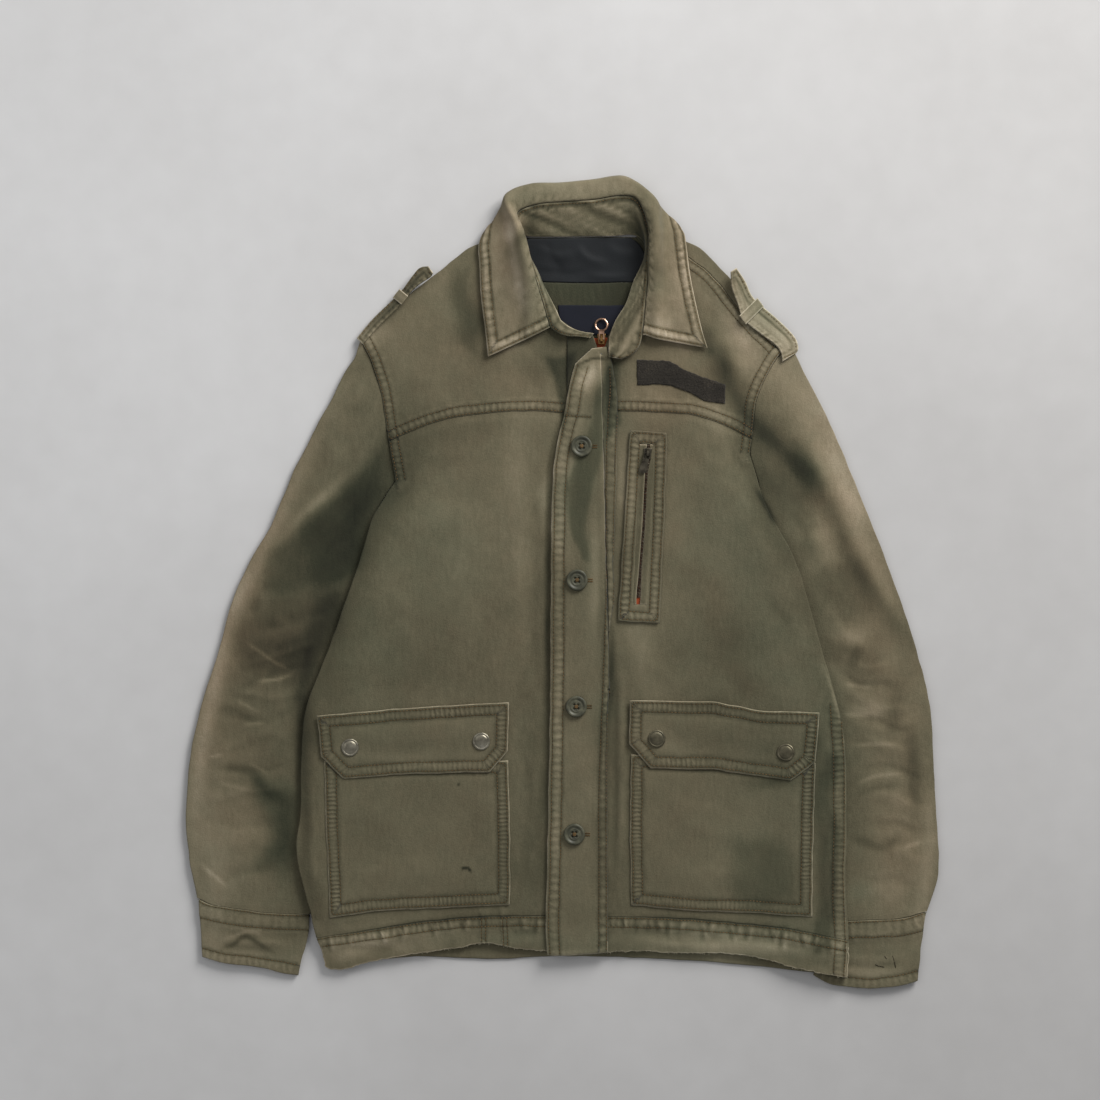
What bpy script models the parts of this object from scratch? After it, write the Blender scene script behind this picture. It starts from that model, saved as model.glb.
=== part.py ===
"""Olive cotton field jacket, laid flat on its back with its front up.

Working unit: millimetre in the plan tables below, scaled to metres when a mesh is made.
Plan: +X towards the wearer's left sleeve, +Y towards the collar, +Z up from the surface.
"Right" and "left" are the wearer's, so the right side of the jacket lies at -X.
Every panel is a sheet, cut to its outline, draped over a height function and given its wall
along the sheet's own normals. What is sewn on a panel reuses the panel's points, moved out.
"""
import math

import bmesh
import bpy
from mathutils import Matrix, Vector
from mathutils.geometry import delaunay_2d_cdt

MM = 0.001
PLAN_CENTRE = (-0.5, 2.0)         # plan point that becomes the origin

# ---- driving dimensions, mm ------------------------------------------------------------------
BODY_WALL = 2.2                   # twill shell with its lining
SLEEVE_WALL = 1.8
COLLAR_WALL = 2.4
PATCH_WALL = 1.5                  # one turned layer of twill: pocket, placket, flap, hem
STRAP_WALL = 2.0
STRAP_CROWN = 0.6                 # a strap is this much higher along its middle
TAPE_WALL = 0.9
SEAM_GAP = 0.3
LAYER_GAP = 0.3
FRONT_REST = 5.2                  # underside of the front above the surface
EDGE_GAP = 0.5                    # front over back where they are joined
EDGE_CURL = 14.0                  # width over which the front curls down to that edge
SLEEVE_GAP = 3.2                  # air inside a sleeve
STRIP_GAP = 1.0                   # air inside a sleeve where the body lies on it
BODY_LIFT = 5.2                   # body edge above the surface where a sleeve is under it
EDGE_STEP = 17.0                  # spacing of points along an outline
PANEL_STEP = 26.0                 # spacing of points inside a visible panel
HIDDEN_STEP = 48.0                # spacing inside a panel that faces the surface
SLIVER = 0.03                     # smallest triangle of a panel, square mm

BUTTON_DIAMETER = 21.4
SNAP_DIAMETER = 17.4
RING_RADIUS = 6.0
RING_WIRE = 1.0

# ---- outlines, each a smooth line of (x, y) --------------------------------------------------
SHOULDER_RIGHT = [(-42, 347), (-86, 340.5), (-116, 319), (-166, 280), (-202, 245)]
SHOULDER_LEFT = [(73, 348), (123, 343), (142, 331.5), (165, 307.5), (190, 282), (227, 241.5)]
ARMHOLE_RIGHT = [(-202, 245), (-192, 223.5), (-182, 192.5), (-178, 166.5), (-173, 135), (-167, 103.5)]
ARMHOLE_LEFT = [(227, 241.5), (213, 225.5), (200, 202.5), (192, 180), (190, 155), (187, 131.5)]
SIDE_RIGHT = [(-167, 103.5), (-190, 66.5), (-199, 36.5), (-216, -14.5), (-236, -69.5), (-256, -121.5),
              (-261, -167.5), (-262, -225), (-266, -269.5), (-255, -315.5), (-247, -349.5), (-237, -383)]
SIDE_LEFT = [(187, 131.5), (201, 81.5), (214, 57), (233, 20.5), (252, -43.5), (267, -95.5),
             (280, -150), (283, -231.5), (282, -304.5), (285, -355), (284, -393)]
NECK_RIGHT = [(-42, 347), (-35, 328), (-23, 304), (-12, 284), (-2, 264), (12, 255.5), (29, 251)]
NECK_LEFT = [(73, 348), (82, 338), (80, 322), (70, 302), (63, 281), (52, 263), (45, 246)]
CENTRE_RIGHT = [(29, 251), (33, 239), (37, 222), (37, 100), (36, -200), (35, -369)]
CENTRE_LEFT = [(45, 246), (43, 236), (38.6, 222), (38.6, 100), (37.6, -200), (36.6, -369)]
YOKE_SEAM_RIGHT = [(-185, 139), (-173, 143.5), (-137, 159), (-99, 168.5), (-40, 173.5), (0, 172), (50, 172)]
YOKE_SEAM_LEFT = [(25, 173), (63, 173.5), (89, 172.5), (130, 169.5), (165, 157.5), (183, 148), (200, 141)]
SHOULDER_SEAM = [(92, 352), (125, 327.5), (139, 317.5), (155, 302.5), (170, 283), (188, 262), (212, 238),
                 (240, 226)]
HEM_SEAM_RIGHT = [(-260, -355), (-194, -345.5), (-147, -338.5), (-103, -333.5), (-52, -331.5), (50, -332)]
HEM_SEAM_LEFT = [(25, -332), (107, -333.5), (170, -338.5), (232, -345), (295, -358.5)]
HEM_RIGHT = [(-237, -383), (-222, -385.5), (-178, -374.5), (-103, -363.5), (-75, -358.5), (-46, -364.5),
             (35, -369)]
HEM_LEFT = [(36.6, -369), (86, -366.5), (102, -368.5), (179, -370.5), (238, -384.5), (284, -393)]
HEM_BACK = [(-237, -383), (-150, -373), (-75, -375.5), (10, -372.5), (134, -377.5), (238, -387), (284, -393)]
HEM_SEAM_BACK = [(-260, -350), (-150, -342), (-75, -343), (10, -342), (134, -346), (238, -355), (300, -361)]

CUFF_SEAM_RIGHT = [(-366, -313.5), (-355, -319.5), (-328, -324.5), (-293, -328.5), (-254, -330.5)]
CUFF_SEAM_LEFT = [(364, -327), (342, -333.5), (318, -335.5), (292, -336.5), (254, -341.5)]
OUTER_RIGHT = [(-202, 245), (-207, 230), (-220, 209), (-232, 184), (-246, 159), (-258, 135),
               (-271, 109.5), (-292, 59), (-307, 34), (-320, 9), (-331, -17), (-346, -72),
               (-360, -115.5), (-372, -165.5), (-377, -228), (-374, -272.5), (-366, -313.5)]
OUTER_LEFT = [(227, 241.5), (240, 214.5), (270, 154.5), (295, 94.5), (319, 34.5), (341, -25.5),
              (359, -85.5), (368, -130), (372, -205.5), (376, -277.5), (373, -300), (364, -327)]
CUFF_RIGHT = [[(-364, -315.5), (-363, -340.5), (-361, -373)],
              [(-361, -373), (-337, -379.5), (-302, -383.5), (-272, -392), (-265, -391.5)],
              [(-265, -391.5), (-261, -372.5), (-255, -352.5), (-254.3, -331)]]
CUFF_LEFT = [[(363, -328), (358.5, -361.5), (355, -396.5)],
             [(355, -396.5), (342, -400.5), (318, -403.5), (294, -403.5), (266, -399.5), (251, -391.5)],
             [(251, -391.5), (253, -366), (254, -342)]]
# how far a sleeve's inner edge runs under the body: (length along the side seam, overlap)
TUCK_RIGHT = [(0, -0.9), (32, -0.9), (80, 13), (420, 13), (432, 12), (460, 3)]
TUCK_LEFT = [(0, -0.9), (34, -0.9), (85, 15), (330, 20), (430, 26), (500, 30)]
# body lift over a sleeve: (full to this depth, gone at this depth)
LIFT_RIGHT = (20, 64)
LIFT_LEFT = (37, 78)
LIFT_START = 26.0                 # length of side seam over which the lift builds up
LIFT_END_RIGHT = (460, 500)       # stretch of the right side seam over which it dies out

# largest folds of the front and of the sleeves; columns: x0, y0, x1, y1, half width, height
FRONT_FOLDS = [
    (56, 160, 50, -40, 9, -1.6), (50, -40, 50, -300, 9, -1.6), (-24, 150, -22, -320, 9, -1.0),
    (-150, 90, -130, -60, 26, 0.8), (120, 120, 150, -70, 26, 0.8), (-60, 130, -80, -90, 22, -0.8),
    (190, 60, 170, -90, 22, -0.9), (-215, -20, -180, -100, 18, -0.9), (100, -20, 70, -95, 16, 0.7),
]
SLEEVE_FOLDS = [
    (-190, 120, -270, 45, 16, -1.6), (-225, 90, -310, -10, 15, 1.4), (-355, -70, -280, -105, 9, 1.6),
    (-362, -120, -285, -95, 8, -1.4), (-368, -190, -290, -160, 9, 1.5), (-360, -240, -280, -215, 9, -1.4),
    (-350, -285, -275, -270, 8, 1.2), (218, 130, 280, 30, 12, -1.8), (280, 30, 318, -60, 11, -1.6),
    (345, -70, 295, -105, 8, 1.5), (365, -120, 300, -140, 8, -1.4), (368, -180, 310, -160, 9, 1.5),
    (368, -250, 310, -235, 8, 1.2),
]

# ---- pieces sewn on the fronts ---------------------------------------------------------------
POUCH_RIGHT = [(-239, -176), (-237, -250), (-233, -333), (-190, -327), (-135, -324), (-53, -320.5),
               (-53, -250), (-55, -176)]
POUCH_LEFT = [(68, -170), (67, -250), (68, -320.5), (134, -326.5), (188, -328), (249, -332),
              (250, -250), (252, -178)]
FLAP_RIGHT = [(-245, -130.5), (-159, -123.5), (-53.5, -117.5), (-55.5, -166.5), (-73.5, -187.5),
              (-159, -189.5), (-220, -194.5), (-242, -171.5)]
FLAP_LEFT = [(67, -115.5), (150, -117), (201, -126), (256, -127.5), (252, -177), (228, -196),
             (150, -185), (88, -184), (66.5, -159.5)]
WELT = [(67, 154), (104, 152), (101.5, 60), (96, -39), (55, -36.5), (61, 60)]
WELT_SLIT = [(77.5, 140), (89.5, 140), (87.5, 60), (83, -20), (70.5, -20), (74.5, 60)]
WELT_FACING = [(73, 146), (95, 146), (92.5, 60), (88, -27), (65, -27), (69.5, 60)]
NAME_TAPE = [(74, 224.5), (106, 222.5), (128, 211.5), (162, 200.5), (162, 181), (142, 184),
             (118, 195.5), (100, 199.5), (74, 199.5)]
# top corners, free edge downwards, hem, sewn edge upwards
PLACKET = [(29, 236), (12, 220.5), (5.5, 196), (2.5, 177), (-4, 151), (-10, 110), (-12, 24.5), (-12.5, -70),
           (-14, -190), (-17, -330), (-16, -370), (-4, -371), (45, -368), (44, -260), (43, -150),
           (48, -30), (51, 60), (55, 170), (49, 222), (44, 238)]
PLACKET_EDGE = 38.0               # the placket steps down to the left front past this x
BUTTON_STAND = [(29, 249.5), (12, 254), (4, 256), (4, 200), (5, -20), (4, -200), (3, -357),
                (34, -357), (35, -200), (36, 100), (36, 222), (32.5, 238)]
BUTTONS = [(18.5, 138.2), (14, 4.5), (13.2, -121.8), (11.3, -249.3)]
SNAPS = [(-213.3, -162.5), (-81.6, -156.5), (93.6, -154), (223, -167.5)]
MAIN_ZIP = (38.5, 245.5)
MAIN_ZIP_TAPE = [(28, 247), (46, 247), (46, 100), (44, -365), (30, -365), (30, 100)]
CHEST_ZIP = (84.6, 131.0)
CHEST_PULL_TILT = 14.0            # degrees the chest pull lies off the zip's line

# ---- inside the neck -------------------------------------------------------------------------
LINING = [(-36, 346.4), (15, 347), (68, 347.2), (76, 341), (86, 325), (86, 303.5), (20, 302), (-30, 303.5),
          (-42, 325)]
FACING = [(-30, 303), (20, 301.5), (86, 303), (90, 262), (60, 236), (10, 230), (-36, 250)]
LABEL = [(-5, 279.5), (62, 279.5), (60, 250), (-3, 250)]

# ---- collar: rows run from the right front end round the back to the left front end ----------
# columns: neck seam, stand-to-fall seam, roll and free edge of the fall, each x, y, z
COLLAR_ROWS = [
    ((-2, 264, 10.8), (-13, 257, 12.6), (-32, 247, 15.0), (-75, 227.5, 11.0)),
    ((-11, 284, 10.4), (-20, 281.5, 16.0), (-33, 279, 19.5), (-78, 256, 11.0)),
    ((-21, 304, 10.2), (-28, 306, 21.0), (-37, 306, 24.5), (-82, 288, 11.0)),
    ((-32, 326, 9.0), (-34, 328, 23.0), (-41, 330, 28.0), (-83.5, 318, 11.0)),
    ((-39, 346, 7.0), (-40, 352, 20.0), (-47, 358, 25.0), (-84, 342, 9.0)),
    ((-40, 348.5, 4.6), (-46, 370, 13.5), (-57, 387, 14.5), (-72, 356, 3.6)),
    ((-25, 348.2, 4.0), (-28, 379, 12.5), (-34, 399.5, 10.5), (-38, 353, 1.7)),
    ((0, 348.2, 3.8), (-1, 382, 12.5), (-4, 400.5, 10.5), (-6, 353, 1.6)),
    ((30, 348.5, 3.8), (30, 384, 12.5), (30, 404, 10.5), (30, 353, 1.6)),
    ((54, 349, 4.0), (57, 388, 13.0), (62, 406.5, 11.5), (66, 354, 1.7)),
    ((67, 350, 4.8), (74, 384, 16.0), (90, 386, 16.5), (108, 362, 4.5)),
    ((77, 347, 6.6), (84, 360, 21.0), (93, 362, 25.0), (120, 353, 8.0)),
    ((82, 338, 8.2), (86, 344, 22.0), (94, 344, 25.5), (123, 341, 10.6)),
    ((80, 322, 9.6), (85, 323, 20.5), (94, 322, 23.5), (126, 316, 11.0)),
    ((70, 302, 10.4), (84, 300, 17.5), (94, 299, 20.0), (130, 294, 11.0)),
    ((63, 281, 11.2), (82, 281, 15.5), (94, 280, 18.0), (134.5, 273, 11.0)),
    ((52, 263, 12.4), (80.5, 264, 14.0), (94, 262, 16.5), (139.5, 252, 11.0)),
    ((46, 247, 13.0), (79, 249, 13.6), (94, 245, 15.5), (144.5, 236, 11.2)),
]
STAND_TAB_RIGHT = [((31, 251, 11.6), (27, 246, 12.4)), ((21, 252.5, 11.2), (15, 247.5, 12.4)),
                   ((12, 255, 10.8), (4, 248, 12.6)), ((4, 259, 10.8), (-6, 251.5, 12.6))]
STAND_TAB_LEFT = [((45.5, 238, 13.2), (77, 240, 13.4)), ((45.5, 232, 13.2), (71, 231, 13.4)),
                  ((45.5, 227, 13.2), (59, 225, 13.4))]

# ---- epaulettes: rows of the two edges of the strap, from the armhole seam to its free tip ---
EPAULETTE_LEFT = [((219, 222.5, 8.8), (233, 231.5, 5.6)), ((217.5, 232, 9.0), (235.5, 236.5, 6.0)),
                  ((211, 240.5, 9.4), (231.5, 248, 6.6)), ((197, 250.5, 9.8), (215, 265, 7.0)),
                  ((180, 265, 11.0), (196, 281, 8.4)), ((174, 281, 12.2), (188, 290, 9.4)),
                  ((168, 297, 14.0), (182, 303, 11.2)), ((167, 312, 16.0), (173, 316, 14.0))]
EPAULETTE_RIGHT = [((-200, 240, 8.6), (-206.5, 246.5, 3.4)), ((-184, 258, 9.2), (-191, 265, 3.6)),
                   ((-166, 275.5, 9.8), (-173, 282.5, 3.8)), ((-158, 284, 10.6), (-165, 290, 4.4)),
                   ((-151, 293, 11.6), (-158, 298, 5.4)), ((-142, 300.5, 12.8), (-151, 308, 6.6)),
                   ((-132.5, 306.5, 13.4), (-143.5, 316.5, 7.6)), ((-129.5, 311, 13.6), (-134.5, 318, 8.4))]
# each strap's keeper: the row of the strap that it crosses
KEEPER_ROWS = {"left": 4, "right": 3}
KEEPER_LENGTH = 11.0              # along the strap
KEEPER_WALL = 1.2
KEEPER_MARGIN = 1.5               # past each edge of the strap


# ---- small geometry helpers ------------------------------------------------------------------
def ease(value):
    """Rise smoothly from 0 to 1 as value goes from 0 to 1."""
    value = min(1.0, max(0.0, value))
    return value * value * (3 - 2 * value)


def steps(table, value):
    """Read a table of (position, amount) rows at value, in straight lines between rows."""
    for (x0, y0), (x1, y1) in zip(table, table[1:]):
        if value <= x1:
            return y0 + (y1 - y0) * max(0.0, value - x0) / (x1 - x0)
    return table[-1][1]


def spline(points, count):
    """Points of a Catmull-Rom curve through points, count to each span, the last included."""
    knots = [Vector(p) for p in points]
    knots = [2 * knots[0] - knots[1]] + knots + [2 * knots[-1] - knots[-2]]
    line = []
    for a, b, c, d in zip(knots, knots[1:], knots[2:], knots[3:]):
        for i in range(count):
            t = i / count
            line.append(0.5 * (2 * b + (c - a) * t + (2 * a - 5 * b + 4 * c - d) * t * t
                               + (3 * b - a - 3 * c + d) * t ** 3))
    return line + [knots[-2]]


def even(line, step):
    """Share points out evenly along a line, about step apart."""
    lengths = [(q - p).length for p, q in zip(line, line[1:])]
    total = sum(lengths)
    count = max(1, round(total / step))
    result, i, run = [line[0]], 0, 0.0
    for k in range(1, count):
        target = total * k / count
        while run + lengths[i] < target:
            run += lengths[i]
            i += 1
        result.append(line[i].lerp(line[i + 1], (target - run) / lengths[i]))
    return result + [line[-1]]


def smooth_line(points, step=EDGE_STEP):
    return even(spline(points, 8), step)


def straight_loop(points, step=EDGE_STEP):
    """A closed outline with straight sides, points shared out along each side."""
    loop = []
    for p, q in zip(points, points[1:] + points[:1]):
        loop += even([Vector(p), Vector(q)], step)[:-1]
    return loop


def join(*lines):
    """Join lines end to end into one closed outline, each turned to follow the last."""
    loop = list(lines[0])
    for line in lines[1:]:
        if (line[-1] - loop[-1]).length < (line[0] - loop[-1]).length:
            line = line[::-1]
        loop += [p for p in line if min((p - loop[-1]).length, (p - loop[0]).length) > 0.9]
    return loop


def shifted(line, distance):
    """A line moved sideways, to the left of its own direction; distance may vary along it."""
    result, run = [], 0.0
    for i, p in enumerate(line):
        if i:
            run += (p - line[i - 1]).length
        along = (line[min(i + 1, len(line) - 1)] - line[max(i - 1, 0)]).normalized()
        side = distance(run) if callable(distance) else distance
        result.append(p + side * Vector((-along.y, along.x)))
    return result


def nearest(point, line):
    """Distance from a point to a line, and how far along the line that is."""
    best, along, run = 1e9, 0.0, 0.0
    for p, q in zip(line, line[1:]):
        span = q - p
        t = min(1.0, max(0.0, (point - p).dot(span) / span.length_squared))
        gap = (point - p - t * span).length
        if gap < best:
            best, along = gap, run + t * span.length
        run += span.length
    return best, along


def inside(point, loop):
    hit = False
    for p, q in zip(loop, loop[1:] + loop[:1]):
        if (p.y > point.y) != (q.y > point.y):
            if point.x < p.x + (point.y - p.y) * (q.x - p.x) / (q.y - p.y):
                hit = not hit
    return hit


def height_on(line, x):
    """The y of a line that runs from left to right, at x."""
    return steps([(p.x, p.y) for p in line], x)


# ---- edges that several pieces share ---------------------------------------------------------
side = {"right": smooth_line(SIDE_RIGHT), "left": smooth_line(SIDE_LEFT)}
shoulder = {"right": smooth_line(SHOULDER_RIGHT), "left": smooth_line(SHOULDER_LEFT)}
armhole = {"right": smooth_line(ARMHOLE_RIGHT), "left": smooth_line(ARMHOLE_LEFT)}
outer = {"right": smooth_line(OUTER_RIGHT), "left": smooth_line(OUTER_LEFT)}
cuff_seam = {"right": smooth_line(CUFF_SEAM_RIGHT), "left": smooth_line(CUFF_SEAM_LEFT)}
cuff = {"right": [smooth_line(c) for c in CUFF_RIGHT], "left": [smooth_line(c) for c in CUFF_LEFT]}
TURN = {"right": 1, "left": -1}   # which way is inwards along a side seam that runs down


def inner_edge(hand):
    """Inner edge of a sleeve: the side seam, moved under the body by the tuck."""
    tuck = TUCK_RIGHT if hand == "right" else TUCK_LEFT
    line = shifted(side[hand], lambda run: TURN[hand] * steps(tuck, run))
    end = cuff_seam[hand][-1]
    return [p for p in line if p.y > end.y + 8] + [end]


inner = {hand: inner_edge(hand) for hand in ("right", "left")}


def fold_height(point, folds):
    total = 0.0
    for x0, y0, x1, y1, width, height in folds:
        line = [Vector((x0, y0)), Vector((x1, y1))]
        gap, along = nearest(point, line)
        length = (line[1] - line[0]).length
        taper = ease(along / (0.25 * length) + 0.2) * ease((length - along) / (0.25 * length) + 0.2)
        total += height * taper * math.exp(-(gap / width) ** 2)
    return total


def fold_points(folds):
    """Points along and beside each fold, so that a panel's mesh follows it."""
    points = []
    for x0, y0, x1, y1, width, _ in folds:
        line = even([Vector((x0, y0)), Vector((x1, y1))], 27.0)
        for offset in (-1.4 * width, 0.0, 1.4 * width):
            points += shifted(line, offset)
    return points


# ---- heights of the panels' undersides -------------------------------------------------------
def back_height(point):
    """The back lies on the surface, and rises at its sides over the sleeves."""
    lift = 0.0
    for hand, (full, gone) in (("right", LIFT_RIGHT), ("left", LIFT_LEFT)):
        depth, along = nearest(point, side[hand])
        rise = min(1.0, along / LIFT_START) * min(1.0, max(0.0, (gone - depth) / (gone - full)))
        if hand == "right":
            start, end = LIFT_END_RIGHT
            rise *= min(1.0, max(0.0, (end - along) / (end - start)))
        lift = max(lift, rise * BODY_LIFT)
    return lift


def front_height(point):
    edges = (side["right"], side["left"], shoulder["right"], shoulder["left"])
    curl = ease(min(nearest(point, edge)[0] for edge in edges) / EDGE_CURL)
    low = BODY_WALL + EDGE_GAP
    return back_height(point) + low + (FRONT_REST - low + fold_height(point, FRONT_FOLDS)) * curl


def sleeve_height(hand):
    """Underside of a sleeve's top: flat where the body lies on it, full outside that."""
    outside = outer[hand] + cuff[hand][0]
    within = inner[hand] + cuff[hand][2][::-1]
    strip = (TUCK_RIGHT if hand == "right" else TUCK_LEFT)[3][1] + (9 if hand == "right" else 17)

    def height(point):
        from_outer = nearest(point, outside)[0]
        from_inner = nearest(point, within)[0]
        full = EDGE_GAP + (SLEEVE_GAP - EDGE_GAP) * ease(from_outer / 16)
        flat = EDGE_GAP + (STRIP_GAP - EDGE_GAP) * ease(from_inner / 4)
        flat += (SLEEVE_GAP - STRIP_GAP) * ease((from_inner - strip) / 24)
        fold = fold_height(point, SLEEVE_FOLDS) * ease(from_outer / 14) * ease((from_inner - strip) / 14)
        return SLEEVE_WALL + max(EDGE_GAP, min(full, flat) + fold)
    return height


# ---- building pieces -------------------------------------------------------------------------
jacket = None                     # the part's collection, and that of its Boolean tools
cutters = None
materials = {}

MATERIALS = {                     # base colour, roughness, metallic
    "twill": ((0.20, 0.18, 0.11), 0.9, 0.0), "twill_dark": ((0.10, 0.10, 0.06), 0.9, 0.0),
    "lining": ((0.035, 0.04, 0.045), 0.8, 0.0), "label": ((0.02, 0.03, 0.07), 0.8, 0.0),
    "loop_tape": ((0.03, 0.024, 0.018), 1.0, 0.0), "zip_tape": ((0.30, 0.06, 0.02), 0.8, 0.0),
    "button": ((0.07, 0.07, 0.05), 0.5, 0.0), "snap": ((0.30, 0.27, 0.22), 0.4, 1.0),
    "zip_metal": ((0.45, 0.25, 0.12), 0.35, 1.0),
}


def material(slot):
    if slot not in materials:
        colour, roughness, metallic = MATERIALS[slot]
        made = bpy.data.materials.new(slot)
        made.use_nodes = True
        shader = made.node_tree.nodes["Principled BSDF"]
        shader.inputs["Base Color"].default_value = (*colour, 1)
        shader.inputs["Roughness"].default_value = roughness
        shader.inputs["Metallic"].default_value = metallic
        materials[slot] = made
    return materials[slot]


def to_scene(point):
    """A plan point in mm, with its height, as a place in metres."""
    return Vector((point[0] - PLAN_CENTRE[0], point[1] - PLAN_CENTRE[1], point[2])) * MM


def add_object(name, mesh, slot, smooth_angle=40):
    mesh.shade_smooth()
    mesh.set_sharp_from_angle(angle=math.radians(smooth_angle))
    mesh.materials.append(material(slot))
    piece = bpy.data.objects.new(name, mesh)
    jacket.objects.link(piece)
    return piece


def thickened(surface, name, slot, wall, wanted, out=0.0):
    """A solid on the wanted faces of a surface in mm: its points move out along the surface's own
    normals, so that neighbours cut from one surface keep their gap through the wall."""
    bm = bmesh.new()
    made, where = {}, {}
    for face in surface.faces:
        if not wanted(face):
            continue
        corners = []
        for v in face.verts:
            if v not in made:
                lift = out(v.co) if callable(out) else out
                made[v] = bm.verts.new(to_scene(v.co + v.normal * lift))
                where[tuple(made[v].co)] = v.normal * wall * MM
            corners.append(made[v])
        bm.faces.new(corners)
    grown = bmesh.ops.extrude_face_region(bm, geom=bm.faces[:], use_keep_orig=True)["geom"]
    for v in grown:
        if isinstance(v, bmesh.types.BMVert):
            v.co += where[tuple(v.co)]
    bmesh.ops.recalc_face_normals(bm, faces=bm.faces)
    mesh = bpy.data.meshes.new(name)
    bm.to_mesh(mesh)
    bm.free()
    return add_object(name, mesh, slot)


class Cloth:
    """A plan cut into triangles along given lines, and draped over a height function."""

    def __init__(self, loop, height, lines=(), loops=(), extra=(), step=PANEL_STEP):
        self.loop, self.height = loop, height
        points, edges = [], []
        for line, closed in [(loop, True)] + [(x, False) for x in lines] + [(x, True) for x in loops]:
            first = len(points)
            points += [Vector(p) for p in line]
            count = len(line)
            edges += [(first + i, first + (i + 1) % count) for i in range(count if closed else count - 1)]
        fixed = [(points[a], points[b]) for a, b in edges]
        seeds = [p for p in extra if self.clear(p, fixed, 5.0)]
        kept = list(seeds)
        left, right = min(p.x for p in loop), max(p.x for p in loop)
        low, high = min(p.y for p in loop), max(p.y for p in loop)
        row, rise = 0, step * math.sqrt(3) / 2
        while low + row * rise < high:
            x = left + (row % 2) * step / 2
            while x < right:
                p = Vector((x, low + row * rise))
                near = any((p - q).length < 0.55 * step for q in seeds)
                if not near and self.clear(p, fixed, 0.42 * step):
                    kept.append(p)
                x += step
            row += 1
        points += [p for p in kept if inside(p, loop)]
        plan, _, faces, _, _, _ = delaunay_2d_cdt(points, edges, [], 0, 1e-4, False)
        self.bm = bmesh.new()
        verts = [self.bm.verts.new((p.x, p.y, height(p))) for p in plan]
        for a, b, c in faces:
            centre = (plan[a] + plan[b] + plan[c]) / 3
            area = abs((plan[b] - plan[a]).cross(plan[c] - plan[a])) / 2
            if area > SLIVER and inside(centre, loop):
                self.bm.faces.new([verts[i] for i in (a, b, c)])
        self.bm.normal_update()
        for face in self.bm.faces:
            if face.normal.z < 0:
                face.normal_flip()
        self.bm.normal_update()

    @staticmethod
    def clear(point, segments, distance):
        for p, q in segments:
            span = q - p
            t = min(1.0, max(0.0, (point - p).dot(span) / span.length_squared))
            if (point - p - t * span).length < distance:
                return False
        return True

    def piece(self, name, slot, wall, accept, out=0.0):
        """The triangles whose centres accept allows, moved out and thickened."""
        def wanted(face):
            centre = face.calc_center_median()
            return accept(Vector((centre.x, centre.y)))
        return thickened(self.bm, name, slot, wall, wanted, out)


def seam_pair(line):
    """The two cut edges of a seam, SEAM_GAP apart."""
    return [shifted(line, SEAM_GAP / 2), shifted(line, -SEAM_GAP / 2)]


def make_back():
    neck = even([Vector(SHOULDER_RIGHT[0]), Vector(SHOULDER_LEFT[0])], 28.0)
    hem = smooth_line(HEM_BACK, 24.0)
    loop = join(side["right"][::-1], armhole["right"][::-1], shoulder["right"][::-1], neck,
                shoulder["left"], armhole["left"], side["left"], hem[::-1])
    seam = smooth_line(HEM_SEAM_BACK, 24.0)
    creases = []
    for hand, depths in (("right", LIFT_RIGHT), ("left", LIFT_LEFT)):
        creases += [shifted(side[hand], TURN[hand] * depth) for depth in depths]
    cloth = Cloth(loop, back_height, lines=seam_pair(seam) + creases, step=HIDDEN_STEP)
    half = SEAM_GAP / 2
    cloth.piece("back_panel", "twill", BODY_WALL, lambda p: p.y > height_on(seam, p.x) + half)
    cloth.piece("back_hem_band", "twill", BODY_WALL, lambda p: p.y < height_on(seam, p.x) - half)


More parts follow.
